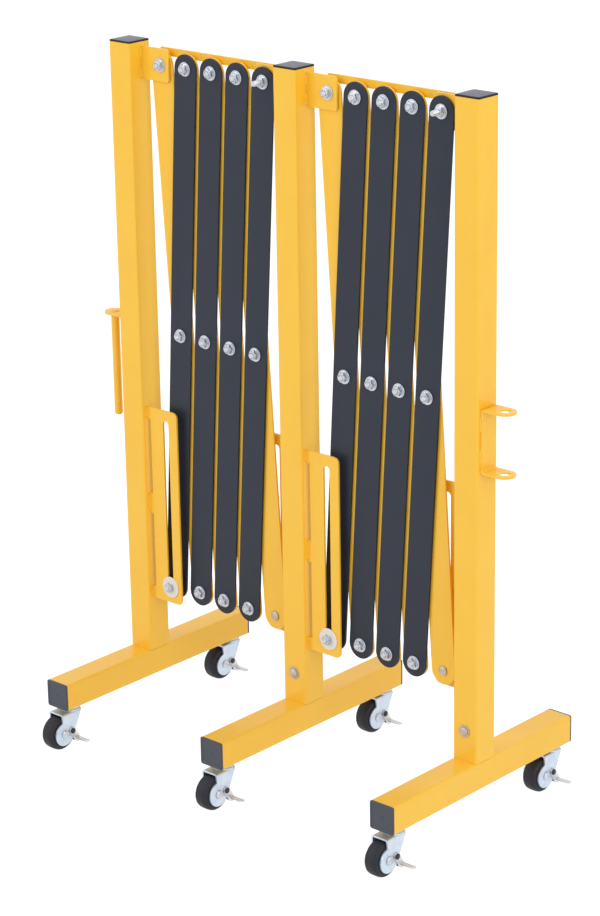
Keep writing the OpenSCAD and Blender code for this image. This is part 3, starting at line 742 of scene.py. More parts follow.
@dataclass(frozen=True)
class Layers:
    """Depth of the layers of a lattice, measured from the plane of the posts to the rear."""

    slat_t: float = 3.0
    gap: float = 1.0
    guide_t: float = 3.0
    guide_front_gap: float = 8.0
    guide_rear_gap: float = 5.0
    bar_t: float = 3.0
    bar_gap: float = 0.3
    head_h: float = 4.0

    @property
    def black(self) -> float:
        """Front face of the black slats."""
        return self.gap

    @property
    def yellow(self) -> float:
        """Front face of the yellow slats."""
        return self.black + self.slat_t + self.gap

    @property
    def guide_front(self) -> float:
        """Front face of a front guide."""
        return -self.guide_front_gap - self.guide_t

    @property
    def guide_rear(self) -> float:
        """Front face of a rear guide."""
        return self.yellow + self.slat_t + self.gap + self.guide_rear_gap

    @property
    def bar(self) -> float:
        """Front face of a hold-closed bar."""
        return self.yellow + self.slat_t + self.head_h + self.bar_gap

    @property
    def bar_end(self) -> float:
        """Rear face of a hold-closed bar."""
        return self.bar + self.bar_t


BOLTS = Bolts()
LAYERS = Layers()


@dataclass
class PostFrame:
    """A post on its foot with its caps, its welded brackets and its fixed bolts."""

    side: str
    starts: str = ""
    ends: str = ""
    bolt_facing: Facing = Facing.FRONT
    tube_w: float = 40.0
    tube_t: float = 2.0
    tube_r: float = 3.0
    cap_t: float = 3.0
    foot_bolt_z: float = 44.0
    spigot_h: float = 70.0
    lug_h: float = 46.0
    lug_over: float = 16.0
    lug_r: float = 5.0
    guide_over: float = 21.5
    guide_below: float = 24.5
    guide_above: float = 21.0
    guide_r: float = 8.0
    slot_gap: float = 1.5
    slit_w: float = 7.0
    lug_weld: float = 17.0
    weld_inset: float = 2.0
    weld_end: float = 18.0
    weld_mid: float = 31.0
    weld_mid_inset: float = 3.0
    guide_weld_r: float = 1.5
    open_angle: float = 44.0
    slat_half: float = SLAT_HALF
    post_washer_d: float = 18.0
    post_head_d: float = 13.0
    post_head_h: float = 3.6

    def __post_init__(self) -> None:
        """Takes the places of the post and the foot from the frame."""
        low, high = corners(f"post_{self.side}")
        foot_low, foot_high = corners(f"foot_{self.side}")
        self.x = (low.x + high.x) / 2
        self.y = (low.y + high.y) / 2
        self.foot_top, self.post_top = low.z, high.z
        self.foot_front, self.foot_rear = foot_low.y, foot_high.y
        self.foot_z = self.foot_top - self.tube_w / 2
        self.body = f"frame_{self.side}"
        self.top_z = spot("expand_left").z
        self.low_z = 2 * spot("l4_middle").z - self.top_z
        lean = math.acos((self.top_z - self.low_z) / (2 * self.slat_half))
        opened = lean + math.radians(self.open_angle)
        self.high_z = self.top_z - 2 * self.slat_half * math.cos(opened)

    def build(self) -> None:
        """Builds every piece of the post."""
        self.post()
        self.foot()
        self.caps()
        self.brackets()
        self.hardware()

    def tube(self, shape: Shape, length: float, place: Matrix, width: float, radius: float) -> None:
        """Adds a square tube with soft ends.

        Args:
            shape: Shape that takes the tube.
            length: Length of the tube.
            place: Placing of its lower end.
            width: Outer width.
            radius: Outer radius of its corners.
        """
        inner = width - 2 * self.tube_t
        bore = max(radius - self.tube_t, 0.6)
        shape.stacked([
            (round_box(width - 0.6, width - 0.6, radius), 0.0),
            (round_box(width, width, radius), 0.3),
            (round_box(width, width, radius), length - 0.3),
            (round_box(width - 0.6, width - 0.6, radius), length),
            (round_box(inner, inner, bore), length),
            (round_box(inner, inner, bore), 0.0),
        ], place, wrap=True)

    def post(self) -> None:
        """Builds the upright tube."""
        shape = Shape()
        place = Facing.UP.at(self.x, self.y, self.foot_top)
        self.tube(shape, self.post_top - self.foot_top, place, self.tube_w, self.tube_r)
        shape.piece(f"tube_post_{self.side}", YELLOW_COAT, self.body, [f"post_{self.side}"])

    def foot(self) -> None:
        """Builds the foot tube and the spigot inside the post."""
        shape = Shape()
        place = Facing.FRONT.at(self.x, self.foot_rear, self.foot_z)
        self.tube(shape, self.foot_rear - self.foot_front, place, self.tube_w, self.tube_r)
        spigot = self.tube_w - 2 * self.tube_t - 0.4
        self.tube(shape, self.spigot_h, Facing.UP.at(self.x, self.y, self.foot_top), spigot, 1.2)
        shape.piece(f"tube_foot_{self.side}", YELLOW_COAT, self.body, [f"foot_{self.side}"])

    def caps(self) -> None:
        """Builds the cap of the post and the two caps of the foot."""
        self.post_cap()
        self.foot_cap("front", self.foot_front, Facing.FRONT)
        self.foot_cap("rear", self.foot_rear, Facing.REAR)

    def post_cap(self) -> None:
        """Builds the cap of the post: a skirt darkened as painted shade around a smooth top made paler and
        bluer as a painted sheen.
        """
        w, r, t = self.tube_w, self.tube_r, self.cap_t
        place, node = Facing.UP.at(self.x, self.y, self.post_top), [f"caps_{self.side}"]
        skirt = Shape()
        skirt.stacked([
            (round_box(w - 0.4, w - 0.4, r), 0.0),
            (round_box(w, w, r), 0.3),
            (round_box(w, w, r), t * 0.62),
            (round_box(w - 0.8, w - 0.8, r), t * 0.76),
            (round_box(w - 2.8, w - 2.8, r), t * 0.82),
        ], place)
        skirt.piece(f"cap_skirt_{self.side}", CAP_SKIRT_SHADE, self.body, node)
        top = Shape()
        top.stacked([
            (round_box(w - 3.4, w - 3.4, r), t * 0.70),
            (round_box(w - 3.4, w - 3.4, r), t * 0.86),
            (round_box(w - 12.0, w - 12.0, r), t * 0.95),
            (round_box(w - 26.0, w - 26.0, r), t),
        ], place)
        top.piece(f"cap_post_{self.side}", CAP_TOP_SHEEN, self.body, node)

    def foot_cap(self, end: str, y: float, facing: Facing) -> None:
        """Builds the cap at one end of the foot, with its sunk middle and its gate mark.

        Args:
            end: Word for the end.
            y: Place of the end of the tube.
            facing: Direction in which the cap stands out.
        """
        w, r, t = self.tube_w, self.tube_r, self.cap_t
        shape = Shape()
        place = facing.at(self.x, y, self.foot_z)
        shape.stacked([
            (round_box(w - 0.4, w - 0.4, r), 0.0),
            (round_box(w, w, r), 0.3),
            (round_box(w, w, r), t - 0.8),
            (round_box(w - 0.5, w - 0.5, r), t - 0.3),
            (round_box(w - 1.6, w - 1.6, r), t),
            (round_box(w - 5.4, w - 5.4, 2.2), t),
            (round_box(w - 6.4, w - 6.4, 2.0), t - 0.35),
            (round_box(w - 7.2, w - 7.2, 1.8), t - 0.8),
        ], place)
        mark = [(2.0, t - 0.9), (2.0, t - 0.5), (1.6, t - 0.35), (1.0, t - 0.55), (0.4, t - 0.6)]
        shape.turned(mark, place, 20)
        name, node = f"cap_foot_{self.side}_{end}", [f"caps_{self.side}"]
        shape.piece(name, CAP_PLASTIC, self.body, node)

    def outer_corners(self, out: int, tip: float, low: float, high: float, radius: float) -> list[Point]:
        """Gives the two round outer corners of a lug or guide.

        Args:
            out: 1 on the +X side of the post, -1 on the other.
            tip: Place of its outer edge.
            low: Height of its lower edge.
            high: Height of its upper edge.
            radius: Radius of the corners.

        Returns:
            The points of the lower and then the upper corner.
        """
        start, x = 180.0 if out < 0 else 0.0, tip - out * radius
        lower = arc((x, low + radius), radius, -90.0, -90.0 + out * 90.0, 6)
        return lower + arc((x, high - radius), radius, start, 90.0, 6)

    def lug(self, shape: Shape, out: int, pivot_x: float, front: float) -> None:
        """Adds the lug for the top bolt with its welds.

        Args:
            shape: Shape that takes the lug.
            out: 1 on the +X side of the post, -1 on the other.
            pivot_x: Place of the bolt.
            front: Front face of the lug behind the plane of the posts.
        """
        edge = self.x + out * self.tube_w / 2
        tip = pivot_x + out * self.lug_over
        low, high = self.top_z - self.lug_h / 2, self.top_z + self.lug_h / 2
        outline = [(edge, low), *self.outer_corners(out, tip, low, high, self.lug_r), (edge, high)]
        place = Facing.FRONT.at(0.0, self.y + front + LAYERS.slat_t, 0.0)
        hole = circle((pivot_x, self.top_z), BOLTS.hole_r)
        shape.plate(outline, LAYERS.slat_t, place, [hole])
        inset, end = self.weld_inset, self.lug_weld
        self.welds(shape, edge, (self.y + front, self.y + front + LAYERS.slat_t),
                   [(low + inset, low + end), (high - end, high - inset)], WELD_R)

    def guide(self, shape: Shape, out: int, pivot_x: float, front: float) -> None:
        """Adds the slotted guide for a low bolt with its welds.

        Args:
            shape: Shape that takes the guide.
            out: 1 on the +X side of the post, -1 on the other.
            pivot_x: Place of the slot.
            front: Front face of the guide behind the plane of the posts.
        """
        edge = self.x + out * self.tube_w / 2
        inner = edge + out * self.slit_w
        tip = pivot_x + out * self.guide_over
        low, high = self.low_z - self.guide_below, self.high_z + self.guide_above
        middle = (low + high) / 2
        outline = [(edge, low), *self.outer_corners(out, tip, low, high, self.guide_r)]
        outline += [(edge, high), (edge, high - self.weld_end), (inner, high - self.weld_end),
                    (inner, middle + self.weld_mid / 2), (edge, middle + self.weld_mid / 2),
                    (edge, middle - self.weld_mid / 2), (inner, middle - self.weld_mid / 2),
                    (inner, low + self.weld_end), (edge, low + self.weld_end)]
        half, slot_r = (self.high_z - self.low_z) / 2, BOLTS.shank_d / 2 + self.slot_gap
        slot = [(pivot_x + x, self.low_z + half + z) for x, z in capsule(half, slot_r, 12)]
        place = Facing.FRONT.at(0.0, self.y + front + LAYERS.guide_t, 0.0)
        shape.plate(outline, LAYERS.guide_t, place, [slot])
        inset, end, mid = self.weld_inset, self.weld_end, self.weld_mid_inset
        self.welds(shape, edge, (self.y + front, self.y + front + LAYERS.guide_t),
                   [(low + inset, low + end - inset), (high - end + inset, high - inset),
                    (middle - self.weld_mid / 2 + mid, middle + self.weld_mid / 2 - mid)], self.guide_weld_r)

    def welds(self, shape: Shape, x: float, depths: Sequence[float], spans: Sequence[Point],
              radius: float) -> None:
        """Adds upright welds between a plate and the post.

        Args:
            shape: Shape that takes the welds.
            x: Side of the post.
            depths: Places of the plate's two faces.
            spans: Lower and upper end of each weld.
            radius: Radius of the welds.
        """
        for y in depths:
            for low, high in spans:
                shape.bead(Vector((x, y, low)), Vector((x, y, high)), radius)

    def brackets(self) -> None:
        """Builds the lugs and guides, and the coupling parts of the end posts."""
        shape = Shape()
        if self.starts:
            x = spot(self.starts).x
            self.lug(shape, 1, x, LAYERS.black)
            self.guide(shape, 1, x, LAYERS.guide_front)
        if self.ends:
            x = spot(self.ends).x
            self.lug(shape, -1, x, LAYERS.yellow)
            self.guide(shape, -1, x, LAYERS.guide_rear)
        node = [f"brackets_{self.side}"]
        shape.piece(f"lugs_and_guides_{self.side}", YELLOW_COAT, self.body, node, rim=0.45)
        if not self.ends:
            CouplingPin(self.x - self.tube_w / 2, self.y, self.foot_top, self.body).build()
        if not self.starts:
            CouplingEyes(self.x + self.tube_w / 2, self.y, self.foot_top, self.body).build()

    def hardware(self) -> None:
        """Builds the post bolt, the fixed first bolt of a lattice and the stems of the casters."""
        out = -1 if self.bolt_facing is Facing.FRONT else 1
        y = self.y + out * self.tube_w / 2
        z = self.foot_top + self.foot_bolt_z
        shape = Shape()
        BOLTS.washer(shape, self.bolt_facing.at(self.x, y, z), self.post_washer_d)
        head = self.bolt_facing.at(self.x, y + out * BOLTS.washer_t, z)
        BOLTS.dome(shape, head, self.post_head_d, self.post_head_h)
        shape.piece(f"post_bolt_{self.side}", DULL_ZINC, self.body, [f"hardware_{self.side}"])
        for end in "fr":
            self.caster_stem(end)
        if self.starts:
            self.first_bolt(spot(self.starts).x)

    def caster_stem(self, end: str) -> None:
        """Builds the upper race, the stem and the king pin's head of one caster.

        Args:
            end: Letter of the caster's end, f or r.
        """
        axis = spot(f"caster_{self.side[0]}{end}_swivel")
        place = Facing.UP.at(axis.x, axis.y, self.foot_top - self.tube_w)
        shape = Shape()
        race = [(12.0, -4.2), (14.3, -4.1), (15.0, -3.3), (15.0, -1.6), (14.0, -0.6), (12.5, -0.3),
                (12.5, 0.0)]
        shape.turned(race, place)
        shape.turned([(5.0, -18.0), (5.0, 0.0)], place, 24)
        shape.turned([(5.0, -11.2), (7.4, -10.9), (8.0, -10.3), (8.0, -9.5), (7.6, -9.1)], place)
        name, node = f"caster_stem_{self.side}_{end}", [f"hardware_{self.side}"]
        shape.piece(name, BRIGHT_ZINC, self.body, node)

    def first_bolt(self, x: float) -> None:
        """Builds the bolt that is fixed in the lug where a lattice starts.

        Args:
            x: Place of the bolt.
        """
        shape = Shape()
        z, front = self.top_z, self.y + LAYERS.black
        BOLTS.washer(shape, Facing.FRONT.at(x, front, z))
        BOLTS.nut(shape, x, front - BOLTS.washer_t, z, Facing.FRONT, spin=11.0, end=BOLTS.short_thread)
        place = Facing.REAR.at(x, self.y, z)
        BOLTS.rod(shape, (LAYERS.black, LAYERS.bar_end + 1), BOLTS.shank_d / 2, place)
        BOLTS.rod(shape, (LAYERS.black + LAYERS.slat_t, LAYERS.yellow), BOLTS.spacer_d / 2, place)
        behind = (LAYERS.yellow + LAYERS.slat_t, LAYERS.bar - BOLTS.slide_gap)
        BOLTS.rod(shape, behind, BOLTS.spacer_d / 2, place)
        BOLTS.dome(shape, Facing.REAR.at(x, self.y + LAYERS.bar_end + 2 * BOLTS.slide_gap, z))
        shape.piece(f"first_bolt_{self.side}", BRIGHT_ZINC, self.body, [f"hardware_{self.side}"])


@dataclass
class CouplingPin:
    """The tab on the left post with the pin that drops into the next gate's eyes."""

    edge: float
    y: float
    foot_top: float
    body: str
    tab_z: float = 503.0
    tab_t: float = 3.0
    reach: float = 29.0
    radius: float = 15.0
    pin_d: float = 12.0
    pin_len: float = 153.0

    def build(self) -> None:
        """Builds the tab with its weld, and the pin."""
        x, z = self.edge - self.reach, self.foot_top + self.tab_z
        shape = Shape()
        outline = [(self.edge, self.y + self.radius)] + arc((x, self.y), self.radius, 90.0, 270.0, 20)
        outline.append((self.edge, self.y - self.radius))
        shape.plate(outline, self.tab_t, Facing.UP.at(0.0, 0.0, z - self.tab_t / 2))
        for side in (z - self.tab_t / 2, z + self.tab_t / 2):
            start = Vector((self.edge, self.y - self.radius + 2, side))
            shape.bead(start, start + Vector((0.0, 2 * self.radius - 4, 0.0)), WELD_R)
        node = ["brackets_left"]
        shape.piece("coupling_tab", YELLOW_COAT, self.body, node, rim=0.4)
        shape = Shape()
        r, low = self.pin_d / 2, -self.tab_t / 2 - self.pin_len
        top, place = self.tab_t / 2, Facing.UP.at(x, self.y, z)
        shape.turned([(r - 2.2, low), (r - 1.7, low + 0.2), (r - 0.2, low + 1.9), (r, low + 2.4),
                      (r, top + 1.3), (r - 0.4, top + 1.8), (r - 1.2, top + 2.0)], place)
        turns = [math.pi * k / 8 for k in range(9)]
        weld = [(r + 1.7 * math.cos(a), top + 1.2 * math.sin(a)) for a in turns]
        shape.turned([(r - 0.5, top)] + weld[::-1], place, wrap=True)
        shape.piece("coupling_pin", YELLOW_COAT, self.body, node)


@dataclass
class CouplingEyes:
    """The bent strip on the right post with its two eyes."""

    edge: float
    y: float
    foot_top: float
    body: str
    eye_z: float = 497.0
    eye_pitch: float = 85.0
    strip_t: float = 3.0
    reach: float = 29.0
    radius: float = 15.0
    eye_d: float = 15.0
    bend: float = 3.0

    def build(self) -> None:
        """Builds the strip with its bends, the eyes and the welds."""
        shape = Shape()
        x, t, bend = self.edge + self.reach, self.strip_t, self.bend
        high = self.foot_top + self.eye_z
        low = high - self.eye_pitch
        start = self.edge + t / 2 + bend
        path = [(start, high)] + arc((start, high - bend), bend, 90.0, 180.0, 6)
        path += arc((start, low + bend), bend, 180.0, 270.0, 6) + [(start, low)]
        unique = [p for i, p in enumerate(path) if i == 0 or math.dist(p, path[i - 1]) > 0.01]
        stations = [(p, -self.radius, self.radius) for p in unique]
        shape.sheet(stations, t, Facing.UP.at(0.0, self.y, 0.0))
        outline = arc((x, self.y), self.radius, -90.0, 90.0, 20)
        outline += [(start, self.y + self.radius), (start, self.y - self.radius)]
        hole = circle((x, self.y), self.eye_d / 2, 32)
        for z in (low, high):
            shape.plate(outline, t, Facing.UP.at(0.0, 0.0, z - t / 2), [hole])
        for y in (self.y - self.radius, self.y + self.radius):
            for z0 in (low + 10, high - 30):
                shape.bead(Vector((self.edge, y, z0)), Vector((self.edge, y, z0 + 20)), WELD_R)
        shape.piece("coupling_eyes", YELLOW_COAT, self.body, ["brackets_right"], rim=0.4)


@dataclass
class Lattice:
    """One folding lattice with its slats, its bolts and its hold-closed bar."""

    side: str
    first_joint: str
    last_joint: str
    bar_body: str
    cells: int = 4
    slat_w: float = 40.0
    slat_half: float = SLAT_HALF
    bar_h: float = 11.5
    bar_rise: float = 11.5
    boss_r: float = 11.0
    hook_wall: float = 4.5
    hook_gap: float = 0.4
    lip_gap: float = 0.4
    bar_drop: float = 1.6
    spin_step: float = 23.0
    bolt_number: int = field(default=0, init=False)

    def __post_init__(self) -> None:
        """Takes the places of the first and last bolts from the frame."""
        self.tag = self.side[0]
        first, last = spot(self.first_joint), spot(self.last_joint)
        low, high = corners("post_mid")
        self.y = (low.y + high.y) / 2
        self.first_x, self.last_x, self.top_z = first.x, last.x, first.z
        self.cell = (last.x - first.x) / self.cells
        self.mid_z = spot("l4_middle").z
        self.lean = math.degrees(math.asin(self.cell / (2 * self.slat_half)))

    def build(self) -> None:
        """Builds every piece of the lattice."""
        for k in range(1, self.cells + 1):
            self.slat(k, "black", 1, LAYERS.black, BLACK_COAT)
            self.slat(k, "yellow", -1, LAYERS.yellow, YELLOW_COAT)
            self.bolts(k)
        self.end_bolt()
        self.hold_bar()

    def place(self, k: int, tilt: int) -> Matrix:
        """Gives the placing of slat k, with its middle bolt at the origin and +Z along the slat.

        Args:
            k: Number of the slat from the left.
            tilt: 1 for a black slat, -1 for a yellow one.

        Returns:
            The matrix from the slat's space to the gate's frame.
        """
        x = self.first_x + (k - 0.5) * self.cell
        turn = Matrix.Rotation(math.radians(tilt * self.lean), 4, "Y")
        return Matrix.Translation((x, self.y, self.mid_z)) @ turn

    def slat(self, k: int, kind: str, tilt: int, front: float, finish: Finish) -> None:
        """Builds one flat slat with round ends and three holes.

        Args:
            k: Number of the slat from the left.
            kind: Colour word of the slat.
            tilt: 1 for a black slat, -1 for a yellow one.
            front: Front face behind the plane of the posts.
            finish: Finish of the slat.
        """
        shape = Shape()
        holes = [circle((0.0, z), BOLTS.hole_r) for z in (-self.slat_half, 0.0, self.slat_half)]
        place = self.place(k, tilt) @ Facing.FRONT.at(0.0, front + LAYERS.slat_t, 0.0)
        shape.plate(capsule(self.slat_half, self.slat_w / 2, 22), LAYERS.slat_t, place, holes)
        tag = f"{self.tag}{k}"
        body = f"slat_{kind}_{tag}"
        shape.piece(f"{body}_strip", finish, body, [f"{kind}_{tag}"], rim=0.55)

    def pivot(self, shape: Shape, place: Matrix, z: float, end: float, rear: float) -> None:
        """Adds a bolt through the black and the yellow layer.

        Args:
            shape: Shape that takes the bolt.
            place: Placing of the slat that carries it.
            z: Place of the bolt along the slat.
            end: Length of thread past the nut.
            rear: Place of the seat of its rear head.
        """
        self.bolt_number += 1
        front = LAYERS.black
        BOLTS.washer(shape, place @ Facing.FRONT.at(0.0, front, z))
        spin = self.spin_step * self.bolt_number
        nut = Shape()
        BOLTS.nut(nut, 0.0, front - BOLTS.washer_t, z, Facing.FRONT, spin, end)
        nut.mesh.transform(place)
        merge(shape, nut)
        rod = place @ Facing.REAR.at(0.0, 0.0, z)
        BOLTS.rod(shape, (front, rear + 1), BOLTS.shank_d / 2, rod)
        BOLTS.rod(shape, (front + LAYERS.slat_t, LAYERS.yellow), BOLTS.spacer_d / 2, rod)
        BOLTS.dome(shape, place @ Facing.REAR.at(0.0, rear, z))

    def bolts(self, k: int) -> None:
        """Builds the three bolts that black slat k carries.

        Args:
            k: Number of the slat from the left.
        """
        place = self.place(k, 1)
        tag, body = f"{self.tag}{k}", f"slat_black_{self.tag}{k}"
        rear = LAYERS.yellow + LAYERS.slat_t
        for row, z in (("top", self.slat_half), ("middle", 0.0), ("low", -self.slat_half)):
            shape = Shape()
            if row == "low" and k == 1:
                self.front_slider(shape, place, z)
            elif row == "top" and k == self.cells:
                self.pivot(shape, place, z, BOLTS.long_thread, LAYERS.bar_end)
                behind = place @ Facing.REAR.at(0.0, 0.0, z)
                BOLTS.rod(shape, (rear, LAYERS.bar), BOLTS.spacer_d / 2, behind)
            else:
                self.pivot(shape, place, z, BOLTS.short_thread, rear)
            shape.piece(f"bolt_{row}_{tag}", BRIGHT_ZINC, body, [f"bolts_{tag}"])

    def slide_washer(self, name: str, body: str, node: str, place: Matrix) -> None:
        """Builds a wide plastic washer that slides on a guide.

        Args:
            name: Name of the washer.
            body: Body that it moves with.
            node: Solid of the frame that it stands for.
            place: Placing of its seat.
        """
        shape = Shape()
        outer, t = BOLTS.slide_washer_d / 2, BOLTS.washer_t
        shape.turned([(4.2, 0.0), (outer - 0.4, 0.0), (outer, 0.4), (outer, t - 0.6), (outer - 0.6, t - 0.05),
                      (outer - 2.4, t), (outer - 3.2, t - 0.3), (9.0, t - 0.3), (8.4, t), (4.2, t)],
                     place, 48, wrap=True)
        shape.piece(name, PALE_NYLON, body, [node])

    def front_slider(self, shape: Shape, place: Matrix, z: float) -> None:
        """Adds the low bolt of the first black slat, which slides in the front guide.

        Args:
            shape: Shape that takes the bolt.
            place: Placing of the slat.
            z: Place of the bolt along the slat.
        """
        seat = LAYERS.guide_front - BOLTS.slide_gap
        washer_place = place @ Facing.FRONT.at(0.0, seat, z)
        self.slide_washer(f"slide_washer_{self.tag}_front", f"slat_black_{self.tag}1", f"bolts_{self.tag}1",
                          washer_place)
        nut = Shape()
        BOLTS.nut(nut, 0.0, seat - BOLTS.washer_t, z, Facing.FRONT, spin=17.0, end=BOLTS.short_thread)
        nut.mesh.transform(place)
        merge(shape, nut)
        rod = place @ Facing.REAR.at(0.0, 0.0, z)
        BOLTS.rod(shape, (seat, LAYERS.black + LAYERS.slat_t + 1), BOLTS.shank_d / 2, rod)
        behind = LAYERS.guide_front + LAYERS.guide_t + BOLTS.slide_gap
        BOLTS.rod(shape, (behind, LAYERS.black), BOLTS.spacer_d / 2, rod)
        BOLTS.dome(shape, place @ Facing.REAR.at(0.0, LAYERS.black + LAYERS.slat_t, z))

    def end_bolt(self) -> None:
        """Builds the low bolt of the last yellow slat, which slides in the rear guide."""
        tag = f"{self.tag}{self.cells}"
        place, z = self.place(self.cells, -1), -self.slat_half
        seat = LAYERS.guide_rear + LAYERS.guide_t + BOLTS.slide_gap
        body, node = f"slat_yellow_{tag}", f"yellow_{tag}"
        self.slide_washer(f"slide_washer_{self.tag}_rear", body, node, place @ Facing.REAR.at(0.0, seat, z))
        shape = Shape()
        BOLTS.nut(shape, 0.0, seat + BOLTS.washer_t, z, Facing.REAR, spin=5.0, end=BOLTS.short_thread)
        shape.mesh.transform(place)
        rod = place @ Facing.REAR.at(0.0, 0.0, z)
        BOLTS.rod(shape, (LAYERS.yellow - 1, seat + BOLTS.washer_t), BOLTS.shank_d / 2, rod)
        between = (LAYERS.yellow + LAYERS.slat_t, LAYERS.guide_rear - BOLTS.slide_gap)
        BOLTS.rod(shape, between, BOLTS.spacer_d / 2, rod)
        BOLTS.dome(shape, place @ Facing.FRONT.at(0.0, LAYERS.yellow, z), height=3.6)
        shape.piece(f"bolt_end_{tag}", DULL_ZINC, body, [node])

    def hold_bar(self) -> None:
        """Builds the bar that turns on the last top bolt and hooks over the first one."""
        span = self.cell * self.cells
        notch_r = BOLTS.shank_d / 2 + self.hook_gap
        notch_z = span * math.sin(math.radians(self.bar_drop))
        lip = BOLTS.shank_d / 2 + self.lip_gap
        left = -span - notch_r - self.hook_wall
        hook_end = -span + notch_r + self.hook_wall
        top = self.bar_rise + self.bar_h
        outline = arc((0.0, 0.0), self.boss_r, 0.0, -180.0, 20)
        outline += [(-self.boss_r, self.bar_rise), (hook_end, self.bar_rise), (hook_end, lip),
                    (-span + notch_r, lip)]
        outline += arc((-span, notch_z), notch_r, 0.0, 180.0, 12)
        outline += [(-span - notch_r, lip), (left, lip), (left, top), (self.boss_r, top)]
        shape = Shape()
        hole = circle((0.0, 0.0), BOLTS.hole_r)
        place = Facing.FRONT.at(self.last_x, self.y + LAYERS.bar_end, self.top_z)
        shape.plate(outline, LAYERS.bar_t, place, [hole])
        shape.piece(f"hold_closed_bar_{self.side}", YELLOW_COAT, self.bar_body,
                    [f"latch_{self.side}"], rim=0.45)


def merge(target: Shape, other: Shape) -> None:
    """Adds the forms of one shape to another and frees the first.

    Args:
        target: Shape that takes the forms.
        other: Shape that is added, and freed.
    """
    carrier = bpy.data.meshes.new("carrier")
    other.mesh.to_mesh(carrier)
    target.mesh.from_mesh(carrier)
    bpy.data.meshes.remove(carrier)
    other.mesh.free()


